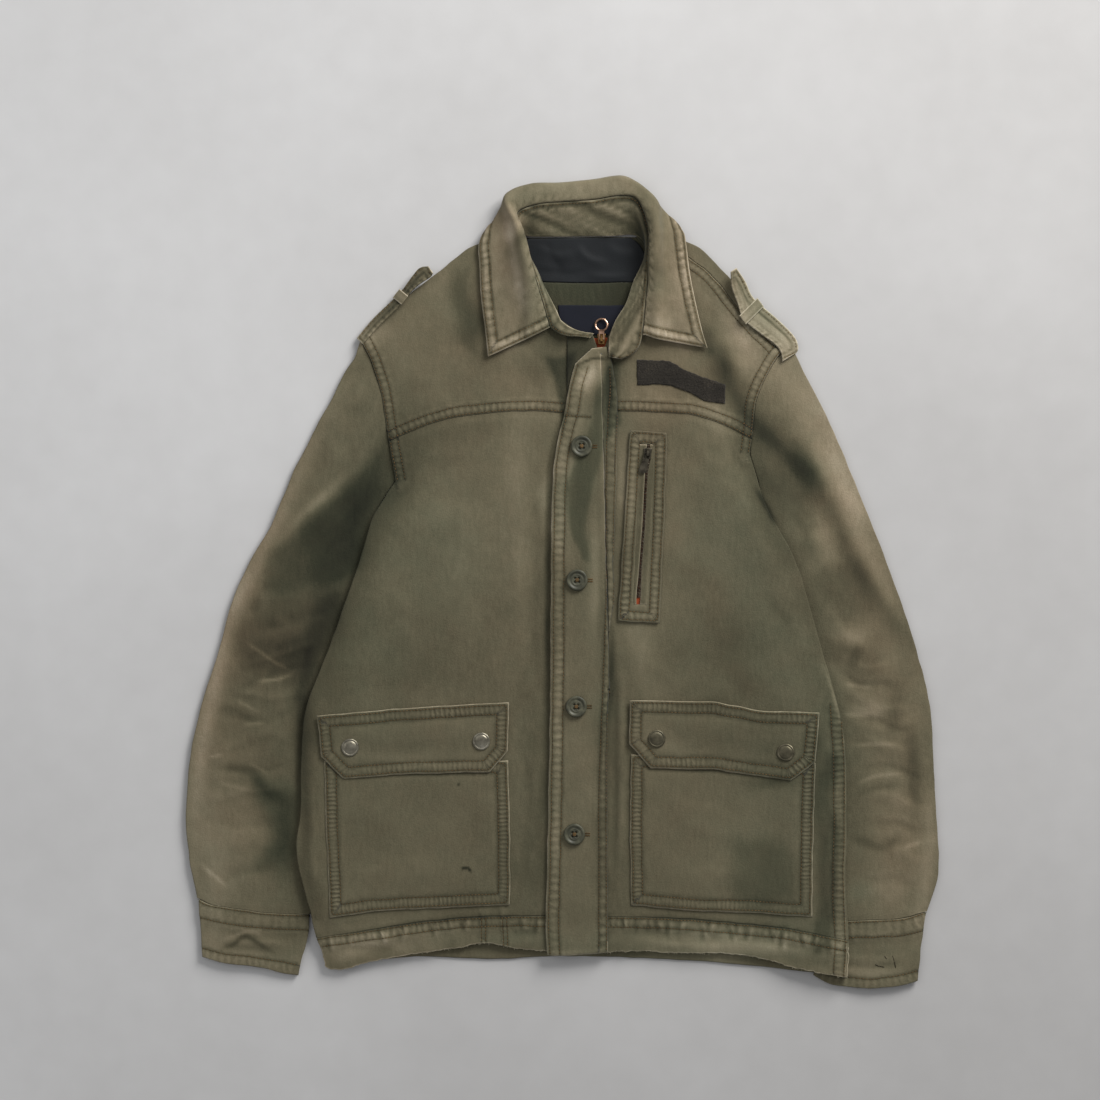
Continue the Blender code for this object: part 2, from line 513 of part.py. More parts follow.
def make_front(hand):
    right = hand == "right"
    neck = smooth_line(NECK_RIGHT if right else NECK_LEFT)
    centre = smooth_line(CENTRE_RIGHT if right else CENTRE_LEFT, 24.0)
    hem = smooth_line(HEM_RIGHT if right else HEM_LEFT)
    yoke = smooth_line(YOKE_SEAM_RIGHT if right else YOKE_SEAM_LEFT)
    band = smooth_line(HEM_SEAM_RIGHT if right else HEM_SEAM_LEFT)
    loop = join(side[hand][::-1], armhole[hand][::-1], shoulder[hand][::-1], neck, centre, hem)
    pouch = straight_loop(POUCH_RIGHT if right else POUCH_LEFT, 20.0)
    flap = straight_loop(FLAP_RIGHT if right else FLAP_LEFT, 20.0)
    sewn = [pouch, flap]
    if not right:
        welt, slit = straight_loop(WELT, 24.0), straight_loop(WELT_SLIT, 40.0)
        facing, tape = straight_loop(WELT_FACING, 40.0), straight_loop(NAME_TAPE, 14.0)
        sewn += [welt, slit, facing, tape]
    curl = [shifted(side[hand], TURN[hand] * depth) for depth in (5.0, EDGE_CURL)]
    wrap = smooth_line(SHOULDER_SEAM)
    seams = seam_pair(yoke) + seam_pair(band) + ([] if right else seam_pair(wrap))
    cloth = Cloth(loop, front_height, lines=seams + curl, loops=sewn, extra=fold_points(FRONT_FOLDS))
    half = SEAM_GAP / 2

    def behind(p):
        """How far a point lies past the shoulder seam, towards the back."""
        return -half if right else (p.y - height_on(wrap, p.x)) * 0.7
    cloth.piece("yoke_" + hand, "twill", BODY_WALL,
                lambda p: p.y > height_on(yoke, p.x) + half and behind(p) <= -half)
    cloth.piece("front_" + hand, "twill", BODY_WALL,
                lambda p: height_on(band, p.x) + half < p.y < height_on(yoke, p.x) - half)
    cloth.piece("hem_band_" + hand, "twill", BODY_WALL, lambda p: p.y < height_on(band, p.x) - half)
    on_front = BODY_WALL + LAYER_GAP
    on_pouch = on_front + PATCH_WALL + LAYER_GAP
    cloth.piece("pocket_" + hand, "twill", PATCH_WALL, lambda p: inside(p, pouch), on_front)
    cloth.piece("pocket_flap_" + hand, "twill", PATCH_WALL, lambda p: inside(p, flap), on_pouch)
    if not right:
        cloth.piece("shoulder_left", "twill", BODY_WALL, lambda p: behind(p) > half)
        cloth.piece("chest_zip_tape", "zip_tape", TAPE_WALL, lambda p: inside(p, facing), on_front)
        cloth.piece("chest_zip_welt", "twill", PATCH_WALL,
                    lambda p: inside(p, welt) and not inside(p, slit), on_front + TAPE_WALL + LAYER_GAP)
        cloth.piece("name_tape", "loop_tape", TAPE_WALL, lambda p: inside(p, tape), on_front)


STAND_STEP = 17.0                 # spacing of points in the button stand
PLACKET_STEP = 15.0
PLACKET_WALL = PATCH_WALL + 0.3   # two layers of twill, pressed
PLACKET_ROOM = 0.4                # room for the buttons' thread between stand and placket
PLACKET_DROP = 0.8                # share of the stand's wall that the placket steps down beside it
PLACKET_RAMP = 6.0
SETTLE = 0.2                      # extra room between pieces that only lie on each other


def make_closure():
    """Button stand on the right front, main zip tape under both fronts, and the placket."""
    stand = straight_loop(BUTTON_STAND)
    tape = straight_loop(MAIN_ZIP_TAPE, 20.0)
    placket = join(smooth_line(PLACKET[1:11]), [Vector(p) for p in PLACKET[11:13]],
                   smooth_line(PLACKET[13:19]), [Vector(PLACKET[19]), Vector(PLACKET[0])])
    on_front = BODY_WALL + LAYER_GAP
    on_stand = on_front + PATCH_WALL + LAYER_GAP
    Cloth(stand, front_height, step=STAND_STEP).piece(
        "button_stand", "twill_dark", PATCH_WALL, lambda p: True, on_front + SETTLE)
    Cloth(tape, front_height, step=17.0).piece(
        "main_zip_tape", "zip_tape", TAPE_WALL, lambda p: True, -TAPE_WALL - LAYER_GAP - SETTLE)
    step_down = PATCH_WALL * PLACKET_DROP

    def out(place):
        return on_stand + PLACKET_ROOM - step_down * ease((place.x - PLACKET_EDGE) / PLACKET_RAMP)
    Cloth(placket, front_height, lines=[[Vector((PLACKET_EDGE, 230)), Vector((PLACKET_EDGE, -360))]],
          step=PLACKET_STEP).piece("placket", "twill", PLACKET_WALL, lambda p: True, out)


def make_sleeve(hand):
    height = sleeve_height(hand)
    turn = TURN[hand]
    top = shifted(armhole[hand], -turn * SEAM_GAP)
    seam = shifted(cuff_seam[hand], turn * 0.5 * SEAM_GAP)
    loop = join(inner[hand][::-1], top[::-1], outer[hand], seam)
    names = (("top", PANEL_STEP, height), ("under", HIDDEN_STEP, lambda p: 0.0))
    for layer, step, surface in names:
        extra = fold_points(SLEEVE_FOLDS) if layer == "top" else ()
        curl = [shifted(outer[hand], turn * 6.0)] if layer == "top" else []
        cloth = Cloth(loop, surface, lines=curl, extra=extra, step=step)
        cloth.piece("sleeve_%s_%s" % (hand, layer), "twill", SLEEVE_WALL, lambda p: True)
    seam = shifted(cuff_seam[hand], -turn * 0.5 * SEAM_GAP)
    band = join(cuff[hand][0], cuff[hand][1], cuff[hand][2], seam[::-1])
    for layer, step, surface in names:
        cloth = Cloth(band, surface, step=step)
        cloth.piece("cuff_%s_%s" % (hand, layer), "twill", SLEEVE_WALL, lambda p: True)


def loft(columns):
    """A surface in mm through columns of points; row numbers are kept as material indices."""
    bm = bmesh.new()
    grid = [[bm.verts.new(p) for p in column] for column in columns]
    for left, right in zip(grid, grid[1:]):
        for k in range(min(len(left), len(right)) - 1):
            bm.faces.new((left[k], right[k], right[k + 1], left[k + 1])).material_index = k
    bm.normal_update()
    return bm


STAND_STEPS = 3                   # rows of faces across the stand
STAND_RISE = 3.0                  # the fall runs on in the stand's direction before it rolls over
ROLL_REACH = 0.3                  # shares of the way to the free edge, and of the drop to it, where
ROLL_DROP = 0.75                  # the fall has rolled over


def make_collar():
    """Stand and fall, cut from one surface lofted through the rows of the collar."""
    neck, seam, roll, edge = (spline(row, 2) for row in zip(*COLLAR_ROWS))

    def across(low, high):
        return [low.lerp(high, k / STAND_STEPS) for k in range(STAND_STEPS + 1)]
    columns = [across(Vector(a), Vector(b)) for a, b in STAND_TAB_RIGHT]
    for a, b, c, d in zip(neck, seam, roll, edge):
        onwards = (b - a).normalized()
        turn = c.lerp(d, ROLL_REACH)
        turn.z = c.z + (d.z - c.z) * ROLL_DROP
        fall = [b + onwards * SEAM_GAP * 1.3] + spline([b + onwards * STAND_RISE, c, turn, d], 2)
        columns.append(across(a, b) + fall)
    columns += [across(Vector(a), Vector(b)) for a, b in STAND_TAB_LEFT]
    surface = loft(columns)
    middle = -COLLAR_WALL / 2
    thickened(surface, "collar_stand", "twill", COLLAR_WALL,
              lambda face: face.material_index < STAND_STEPS, middle)
    thickened(surface, "collar_fall", "twill", COLLAR_WALL,
              lambda face: face.material_index > STAND_STEPS, middle)


def make_epaulettes():
    for hand, rows in (("left", EPAULETTE_LEFT), ("right", EPAULETTE_RIGHT)):
        inner_line = spline([row[0] for row in rows], 2)
        outer_line = spline([row[1] for row in rows], 2)
        crown = Vector((0, 0, STRAP_CROWN))
        surface = loft([[a, a.lerp(b, 0.5) + crown, b] for a, b in zip(inner_line, outer_line)])
        thickened(surface, "epaulette_" + hand, "twill", STRAP_WALL, lambda face: True, -STRAP_WALL / 2)
        i = 2 * KEEPER_ROWS[hand]
        a, b = inner_line[i], outer_line[i]
        along = (inner_line[i + 1] - inner_line[i - 1]).normalized() * KEEPER_LENGTH / 2
        margin = (b - a).normalized() * KEEPER_MARGIN
        columns = [[a - margin + shift, a.lerp(b, 0.5) + crown + shift, b + margin + shift]
                   for shift in (-along, along)]
        thickened(loft(columns), "epaulette_keeper_" + hand, "twill", KEEPER_WALL, lambda face: True,
                  STRAP_WALL / 2 + 2 * LAYER_GAP)


def make_lining():
    on_back = BODY_WALL + LAYER_GAP
    for name, slot, outline, wall, level in (
            ("back_lining", "lining", LINING, TAPE_WALL, on_back),
            ("neck_facing", "twill_dark", FACING, TAPE_WALL, on_back),
            ("neck_label", "label", LABEL, 0.5, on_back + TAPE_WALL + LAYER_GAP)):
        cloth = Cloth(straight_loop(outline, 22.0), lambda p, z=level: z, step=30.0)
        cloth.piece(name, slot, wall, lambda p: True)


# ---- hardware --------------------------------------------------------------------------------
def turned(name, slot, profile, segments=18):
    """A turned piece: a profile of (radius, height) in mm, spun about its own vertical axis."""
    mesh = bpy.data.meshes.new(name)
    corners = [(r * MM, 0, z * MM) for r, z in profile]
    mesh.from_pydata(corners, [(i, i + 1) for i in range(len(profile) - 1)], [])
    piece = bpy.data.objects.new(name, mesh)
    jacket.objects.link(piece)
    mesh.materials.append(material(slot))
    spin = piece.modifiers.new("turn", 'SCREW')
    spin.steps = spin.render_steps = segments
    spin.use_merge_vertices = True
    spin.merge_threshold = 0.00005
    spin.use_smooth_shade = True
    return piece


def seat(piece, point, layers):
    """Stand a piece square on the outside of so many mm of layers on the front."""
    x, y = point
    reach = 5.0
    east, west, north, south = (front_height(Vector(p)) for p in (
        (x + reach, y), (x - reach, y), (x, y + reach), (x, y - reach)))
    normal = Vector(((west - east) / (2 * reach), (south - north) / (2 * reach), 1)).normalized()
    level = (east + west + north + south) / 4
    piece.location = to_scene(Vector((x, y, level)) + normal * layers)
    piece.rotation_euler = normal.to_track_quat('Z', 'Y').to_euler()


def make_fasteners():
    on_placket = BODY_WALL + 2 * LAYER_GAP + PATCH_WALL + PLACKET_ROOM + PLACKET_WALL
    rim = BUTTON_DIAMETER / 2
    button = [(0, 2.6), (rim * 0.55, 2.6), (rim * 0.7, 3.4), (rim * 0.92, 3.3), (rim, 2.4), (rim, 1.0),
              (rim * 0.85, 0.0), (0, 0.0)]
    for i, (x, y) in enumerate(BUTTONS, 1):
        seat(turned("button_%d" % i, "button", button), (x, y), on_placket + LAYER_GAP + SETTLE)
    on_flap = BODY_WALL + 2 * LAYER_GAP + 2 * PATCH_WALL
    rim = SNAP_DIAMETER / 2
    snap = [(0, 2.2), (rim * 0.55, 1.95), (rim * 0.88, 1.3), (rim, 0.6), (rim, 0.0), (0, 0.0)]
    for i, (x, y) in enumerate(SNAPS, 1):
        seat(turned("snap_%d" % i, "snap", snap, 16), (x, y), on_flap + LAYER_GAP + SETTLE)


SLIDER_LENGTH = 10.5
SLIDER_WIDTH = 8.5
SLIDER_HEIGHT = 2.6
SLIDER_TAPER = 0.72               # width of its lower end as a share of its upper end
SLIDER_EDGE = 0.5                 # rounding of its edges
CROWN_WIDTH = 2.2
CROWN_LENGTH = 8.0
CROWN_HEIGHT = 4.6
CROWN_ROOT = 0.4                  # depth to which it is sunk into the body
CROWN_SLOPE = 1.6                 # its bevelled shoulders
CROWN_HOLE = 3.0                  # free length and height of the eye under the crown


def box_between(bm, low, high):
    made = bmesh.ops.create_cube(bm, size=1.0)["verts"]
    low, high = Vector(low), Vector(high)
    for v in made:
        v.co = Vector([(a + b) / 2 + c * (b - a) for a, b, c in zip(low, high, v.co)]) * MM
    return made


def make_slider(name, place, heading):
    """Zip slider: a tapered body with a crown, whose eye takes the pull. Heading turns it about Z."""
    body = bmesh.new()
    box_between(body, (-SLIDER_WIDTH / 2, -SLIDER_LENGTH / 2, 0),
                (SLIDER_WIDTH / 2, SLIDER_LENGTH / 2, SLIDER_HEIGHT))
    for v in body.verts:
        if v.co.y < 0:
            v.co.x *= SLIDER_TAPER
    mesh = bpy.data.meshes.new(name)
    body.to_mesh(mesh)
    body.free()
    slider = add_object(name, mesh, "zip_metal", 30)
    slider.location = to_scene(place)
    slider.rotation_euler.z = heading
    soften = slider.modifiers.new("edges", 'BEVEL')
    soften.width = SLIDER_EDGE * MM
    soften.segments = 2
    soften.limit_method = 'ANGLE'
    half, eye = CROWN_LENGTH / 2, CROWN_HOLE / 2
    crown = bmesh.new()
    top, foot = SLIDER_HEIGHT + CROWN_HEIGHT, SLIDER_HEIGHT - CROWN_ROOT
    shoulder, hole = SLIDER_HEIGHT + CROWN_SLOPE, SLIDER_HEIGHT + CROWN_HOLE
    outline = [(-half, foot), (-half, shoulder), (-half + CROWN_SLOPE, top), (half - CROWN_SLOPE, top),
               (half, shoulder), (half, foot), (eye, foot), (eye, hole), (-eye, hole), (-eye, foot)]
    corners = [crown.verts.new((-CROWN_WIDTH / 2 * MM, y * MM, z * MM)) for y, z in outline]
    face = crown.faces.new(corners)
    grown = bmesh.ops.extrude_face_region(crown, geom=[face])["geom"]
    for v in grown:
        if isinstance(v, bmesh.types.BMVert):
            v.co.x += CROWN_WIDTH * MM
    bmesh.ops.recalc_face_normals(crown, faces=crown.faces)
    mesh = bpy.data.meshes.new(name + "_crown")
    crown.to_mesh(mesh)
    crown.free()
    tool = bpy.data.objects.new(name + "_crown", mesh)
    tool.hide_render = True
    tool.display_type = 'WIRE'
    cutters.objects.link(tool)
    tool.location = slider.location
    tool.rotation_euler = slider.rotation_euler
    boolean(slider, tool, 'UNION')
    return slider


def eye_place(place):
    """Centre of the eye of a slider that stands at place: the pull's axis runs through it."""
    return Vector(place) + Vector((0, 0, SLIDER_HEIGHT + CROWN_HOLE / 2))


LINK_WIDTH = 5.4
LINK_LENGTH = 9.0
LINK_WALL = 1.2
LINK_WINDOW = (3.4, 4.4)
RING_DROOP = 8.0                  # degrees the ring hangs down from level at rest


def helper_box(name, low, high, place, turn):
    """A box that a Boolean modifier uses, set in the cutters' collection."""
    bm = bmesh.new()
    box_between(bm, low, high)
    mesh = bpy.data.meshes.new(name)
    bm.to_mesh(mesh)
    bm.free()
    tool = bpy.data.objects.new(name, mesh)
    tool.hide_render = True
    tool.display_type = 'WIRE'
    tool.location, tool.rotation_euler = place, turn
    cutters.objects.link(tool)
    return tool


def boolean(piece, tool, operation):
    step = piece.modifiers.new(tool.name, 'BOOLEAN')
    step.operation = operation
    step.object = tool


def make_ring(place):
    """Ring pull of the main zip with its link; its origin lies on the hinge axis, in the slider's eye."""
    hinge, turn = to_scene(eye_place(place)), (math.radians(-RING_DROOP), 0, 0)
    bpy.ops.mesh.primitive_torus_add(major_radius=RING_RADIUS * MM, minor_radius=RING_WIRE * MM,
                                     major_segments=28, minor_segments=8)
    ring = bpy.context.object
    ring.name = ring.data.name = "main_zip_ring"
    for collection in list(ring.users_collection):
        collection.objects.unlink(ring)
    jacket.objects.link(ring)
    ring.data.transform(Matrix.Translation((0, (LINK_LENGTH + RING_RADIUS - 0.6) * MM, 0)))
    ring.data.shade_smooth()
    ring.data.materials.append(material("zip_metal"))
    ring.location, ring.rotation_euler = hinge, turn
    wide, deep = LINK_WINDOW
    bar = PULL_BAR / 2
    boolean(ring, helper_box("link", (-LINK_WIDTH / 2, -bar, -LINK_WALL / 2),
                             (LINK_WIDTH / 2, LINK_LENGTH, LINK_WALL / 2), hinge, turn), 'UNION')
    boolean(ring, helper_box("link_window", (-wide / 2, bar, -LINK_WALL), (wide / 2, bar + deep, LINK_WALL),
                             hinge, turn), 'DIFFERENCE')


PULL_LENGTH = 21.0
PULL_WIDTH = 7.4
PULL_WALL = 1.2
PULL_BAR = 1.3                    # crossbar that runs through the slider's eye
PULL_WINDOW = 5.0
PULL_DROOP = 4.0                  # degrees the tab hangs down from level at rest


def make_pull(place, heading):
    """Flat pull tab of the chest zip: a round-ended plate with a window at its bar."""
    half, reach = PULL_WIDTH / 2, PULL_LENGTH - PULL_WIDTH / 2
    outside = [(-half, PULL_BAR / 2), (half, PULL_BAR / 2), (half * 0.8, -8.0)]
    outside += [(half * math.cos(a), -reach - half * math.sin(a))
                for a in (math.pi * i / 12 for i in range(13))]
    outside += [(-half * 0.8, -8.0)]
    window = [(-PULL_WINDOW / 2, -PULL_BAR / 2), (PULL_WINDOW / 2, -PULL_BAR / 2),
              (PULL_WINDOW / 2, -PULL_BAR / 2 - 4.4), (-PULL_WINDOW / 2, -PULL_BAR / 2 - 4.4)]
    curve = bpy.data.curves.new("chest_zip_pull", 'CURVE')
    curve.dimensions = '2D'
    curve.fill_mode = 'BOTH'
    curve.extrude = PULL_WALL / 2 * MM
    for outline in (outside, window):
        spline_made = curve.splines.new('POLY')
        spline_made.points.add(len(outline) - 1)
        for point, (x, y) in zip(spline_made.points, outline):
            point.co = (x * MM, y * MM, 0, 1)
        spline_made.use_cyclic_u = True
    pull = bpy.data.objects.new("chest_zip_pull", curve)
    jacket.objects.link(pull)
    curve.materials.append(material("zip_metal"))
    pull.location = to_scene(eye_place(place))
    pull.rotation_euler = (math.radians(PULL_DROOP), 0, heading)


def make_zips():
    x, y = MAIN_ZIP
    level = front_height(Vector((x, y))) - SETTLE
    make_slider("main_zip_slider", (x, y, level), 0.0)
    make_ring((x, y, level))
    x, y = CHEST_ZIP
    on_tape = BODY_WALL + 2 * LAYER_GAP + TAPE_WALL
    level = front_height(Vector((x, y))) + on_tape + 0.15
    make_slider("chest_zip_slider", (x, y, level), math.radians(-3))
    make_pull((x, y, level), math.radians(-3 - CHEST_PULL_TILT))


def main():
    global jacket, cutters
    for old in list(bpy.data.objects):
        bpy.data.objects.remove(old, do_unlink=True)
    jacket = bpy.data.collections.new("field_jacket")
    cutters = bpy.data.collections.new("cutters")
    for collection in (jacket, cutters):
        bpy.context.scene.collection.children.link(collection)
    make_back()
    for hand in ("right", "left"):
        make_front(hand)
        make_sleeve(hand)
    make_closure()
    make_collar()
    make_epaulettes()
    make_lining()
    make_fasteners()
    make_zips()


main()
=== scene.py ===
"""Looks of the olive field jacket that lies on its back with its front up.

The plan is in millimetres, as in part.py: x towards the wearer's left sleeve, y towards the
collar, z up from the surface. Every cloth piece is a fine closed shell over the form of its CAD
node, with seams, stitch rows and creases from the tables below.
"""
import math

import bpy
import numpy as np
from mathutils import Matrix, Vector
from mathutils.bvhtree import BVHTree
from mathutils.geometry import delaunay_2d_cdt
from mathutils.kdtree import KDTree


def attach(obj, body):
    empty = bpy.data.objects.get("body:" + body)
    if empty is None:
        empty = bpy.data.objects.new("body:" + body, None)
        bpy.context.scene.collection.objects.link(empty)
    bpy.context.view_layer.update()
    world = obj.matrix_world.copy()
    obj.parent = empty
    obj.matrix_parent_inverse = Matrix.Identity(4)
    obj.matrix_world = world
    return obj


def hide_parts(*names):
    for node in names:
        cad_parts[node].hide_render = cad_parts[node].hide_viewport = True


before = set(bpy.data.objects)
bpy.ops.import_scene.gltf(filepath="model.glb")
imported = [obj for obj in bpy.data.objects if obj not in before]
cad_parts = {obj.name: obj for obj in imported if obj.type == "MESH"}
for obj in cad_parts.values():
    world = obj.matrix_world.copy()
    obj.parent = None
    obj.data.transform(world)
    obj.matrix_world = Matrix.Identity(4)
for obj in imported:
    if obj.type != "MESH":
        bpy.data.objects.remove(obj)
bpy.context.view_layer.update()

MM = 0.001
CENTRE = np.array((-0.5, 2.0, 0.0))          # plan point that lies at the scene's origin
FINE = 2.4            # spacing of points inside a visible panel
COARSE = 5.0          # the same inside a panel that faces the surface
EDGE = 2.2                                   # spacing along an outline, and along seams and creases:
SEAM_STEP, ROW_STEP, CREASE_STEP = 5.0, 4.0, 6.0
THREAD_PITCH = 3.3                           # stitch to stitch
PUCKER = 0.168                               # height of a lapped seam's gathers
NOISE_CELLS = 97                             # cells along a side of a noise table


# ---- plan helpers ----------------------------------------------------------------------------
def to_plan(place):
    return np.asarray(place, float) / MM + CENTRE


def to_scene(points):
    return (np.asarray(points, float) - CENTRE) * MM


def ease(value):
    value = np.clip(value, 0.0, 1.0)
    return value * value * (3 - 2 * value)


def bell(gap, width):
    """1 where gap is 0, and soon 0 beyond width."""
    return np.exp(-(gap / width) ** 2)


def dense(knots, count):
    """A Catmull-Rom curve through an array of knots along its first axis, count to each span."""
    knots = np.asarray(knots, float)
    knots = np.concatenate([[2 * knots[0] - knots[1]], knots, [2 * knots[-1] - knots[-2]]])
    line = [0.5 * (2 * b + (c - a) * t + (2 * a - 5 * b + 4 * c - d) * t * t
                   + (3 * b - a - 3 * c + d) * t ** 3)
            for a, b, c, d in zip(knots, knots[1:], knots[2:], knots[3:])
            for t in np.arange(count) / count]
    return np.array(line + [knots[-2]])


def curve(points, step=EDGE):
    """An even, smooth line through points of any dimension."""
    return even(dense(points, 12), step)


def even(line, step):
    """Share points out evenly along a line, about step apart."""
    line = np.asarray(line, float)
    run = np.concatenate([[0], np.cumsum(np.linalg.norm(np.diff(line, axis=0), axis=1))])
    marks = np.linspace(0, run[-1], max(2, round(run[-1] / step) + 1))
    return np.column_stack([np.interp(marks, run, line[:, k]) for k in range(line.shape[1])])


def sideways(line):
    """Unit vectors to the left of a line's direction."""
    along = np.gradient(line, axis=0)
    along /= np.linalg.norm(along, axis=1)[:, None]
    return np.column_stack([-along[:, 1], along[:, 0]])


def inward(loop):
    """Unit vectors into a closed outline, one at each of its points."""
    return sideways(np.vstack([loop[-1:], loop, loop[:1]]))[1:-1]


def closed(loop):
    return np.vstack([loop, loop[:1]])


def near(points, line, reach=30.0):
    """Signed distance of points to a line (left of it positive) and how far along it they lie.
    Points further than reach from the line's box keep a large distance."""
    line = np.asarray(line, float)
    gap, along = np.full(len(points), 1e3), np.zeros(len(points))
    low, high = line.min(0) - reach, line.max(0) + reach
    close = np.nonzero(((points > low) & (points < high)).all(1))[0]
    p = points[close]
    best, where, turn, run = np.full(len(p), 1e3), np.zeros(len(p)), np.ones(len(p)), 0.0
    for a, b in zip(line, line[1:]):
        span = b - a
        length = math.hypot(*span)
        if length < 1e-6:
            continue
        off = p - a
        t = np.clip(off @ span / length ** 2, 0, 1)
        rest = np.hypot(off[:, 0] - t * span[0], off[:, 1] - t * span[1])
        closer = rest < best
        best = np.where(closer, rest, best)
        where = np.where(closer, run + t * length, where)
        turn = np.where(closer, np.sign(span[0] * off[:, 1] - span[1] * off[:, 0]), turn)
        run += length
    gap[close], along[close] = best * turn, where
    return gap, along


def between(table, i, j, f):
    """Values of a table from its cells i to the cells j diagonally across, by the share f."""
    low = table[i[:, 0], i[:, 1]] * (1 - f[:, 0]) + table[j[:, 0], i[:, 1]] * f[:, 0]
    high = table[i[:, 0], j[:, 1]] * (1 - f[:, 0]) + table[j[:, 0], j[:, 1]] * f[:, 0]
    return low * (1 - f[:, 1]) + high * f[:, 1]


def noise(points, scale, seed):
    """Soft noise from -1 to 1 over the plan, its bumps about scale mm apart."""
    table = np.random.default_rng(seed).uniform(-1, 1, (NOISE_CELLS, NOISE_CELLS))
    p = points[:, :2] / scale + 53.3
    i = np.floor(p).astype(int)
    return between(table, i % NOISE_CELLS, (i + 1) % NOISE_CELLS, ease(p - i))


def inside(points, loops):
    """Which points lie inside the outlines, a hole counting as outside."""
    hit = np.zeros(len(points), bool)
    x, y = points[:, 0], points[:, 1]
    for loop in loops:
        for (x0, y0), (x1, y1) in zip(loop, np.roll(loop, -1, axis=0)):
            if y0 != y1:
                hit ^= ((y0 > y) != (y1 > y)) & (x < x0 + (y - y0) * (x1 - x0) / (y1 - y0))
    return hit


# ---- what the CAD nodes give: outlines and heights -------------------------------------------
def solid(node):
    """Corners in plan mm, and triangles, of a CAD node."""
    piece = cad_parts[node]
    mesh = piece.data
    mesh.calc_loop_triangles()
    corners = np.array([to_plan(piece.matrix_world @ v.co) for v in mesh.vertices])
    _, first, same = np.unique(corners.round(3), axis=0, return_index=True, return_inverse=True)
    triangles = same.ravel()[np.array([t.vertices for t in mesh.loop_triangles])]
    return corners[first], triangles


def outlines(node):
    """Plan outlines of a node's upper side, the longest first, smooth but for their corners."""
    corners, triangles = solid(node)
    a, b, c = (corners[triangles[:, k]] for k in range(3))
    normal = np.cross(b - a, c - a)
    size = np.linalg.norm(normal, axis=1) + 1e-12
    longest = np.max([np.linalg.norm(q - p, axis=1) for p, q in ((a, b), (b, c), (c, a))], axis=0)
    sliver = (size / longest < 0.35) & (normal[:, 2] / size > -0.45)
    after, known = {}, set()
    for t in triangles[(normal[:, 2] / size > 0.45) | sliver]:
        known.update((t[k], t[(k + 1) % 3]) for k in range(3))
    for p, q in sorted(known):
        if (q, p) not in known:
            after.setdefault(p, []).append(q)
    loops = []
    while after:
        here = next(iter(after))
        loop = []
        while here in after:
            loop.append(corners[here][:2])
            onward = after[here].pop()
            if not after[here]:
                del after[here]
            here = onward
        if len(loop) > 2 and abs(area_of(np.array(loop))) > 15:
            loops.append(rounded(np.array(loop)))
    return sorted(loops, key=len, reverse=True)


def area_of(loop):
    """Area of a closed outline, less than 0 where it runs clockwise, as round a hole."""
    x, y = loop.T
    return 0.5 * np.sum(x * np.roll(y, -1) - np.roll(x, -1) * y)


def rounded(loop):
    """A closed outline made smooth between its sharp corners, with its points EDGE apart."""
    before, behind = loop - np.roll(loop, 1, axis=0), np.roll(loop, -1, axis=0) - loop
    cross = before[:, 0] * behind[:, 1] - before[:, 1] * behind[:, 0]
    bend = np.abs(np.arctan2(cross, (before * behind).sum(1)))
    sharp = list(np.nonzero(bend > 0.5)[0]) or [0]
    line = []
    for i, j in zip(sharp, sharp[1:] + [sharp[0] + len(loop)]):
        line.append(curve(loop[np.arange(i, j + 1) % len(loop)])[:-1])
    return np.vstack(line)


class Field:
    """Smoothed height in mm of the upper sides of some CAD nodes over the plan."""

    def __init__(self, *nodes, blur=7.0, pitch=3.0):
        corners, triangles, count = [], [], 0
        for node in nodes:
            some, faces = solid(node)
            corners.append(some)
            triangles.append(faces + count)
            count += len(some)
        corners = np.vstack(corners)
        tree = BVHTree.FromPolygons(corners.tolist(), np.vstack(triangles).tolist())
        self.low, self.pitch = corners.min(0)[:2] - 6, pitch
        columns, rows = ((corners.max(0)[:2] + 6 - self.low) / pitch).astype(int) + 2
        height, weight = np.zeros((columns, rows)), np.zeros((columns, rows))
        for i in range(columns):
            for j in range(rows):
                x, y = self.low + np.array((i, j)) * pitch
                hit = tree.ray_cast((x, y, 200), (0, 0, -1))
                if hit[0] is not None:
                    height[i, j], weight[i, j] = hit[0].z, 1.0
        filled = self.spread(height, weight, 14.0)
        height = np.where(weight > 0, height, filled)
        self.grid = self.spread(height, np.ones_like(height), blur)

    def spread(self, height, weight, blur):
        """Gaussian blur that reads only the cells with weight."""
        reach = int(3 * blur / self.pitch) + 1
        kernel = np.exp(-0.5 * (np.arange(-reach, reach + 1) * self.pitch / blur) ** 2)

        def smear(grid):
            for axis in (0, 1):
                grid = np.apply_along_axis(lambda row: np.convolve(row, kernel)[reach:-reach],
                                           axis, grid)
            return grid
        return smear(height * weight) / (smear(weight) + 1e-9)

    def __call__(self, points):
        p = (points[:, :2] - self.low) / self.pitch
        p = np.clip(p, 0, np.array(self.grid.shape) - 1.001)
        i = p.astype(int)
        return between(self.grid, i, i + 1, p - i)


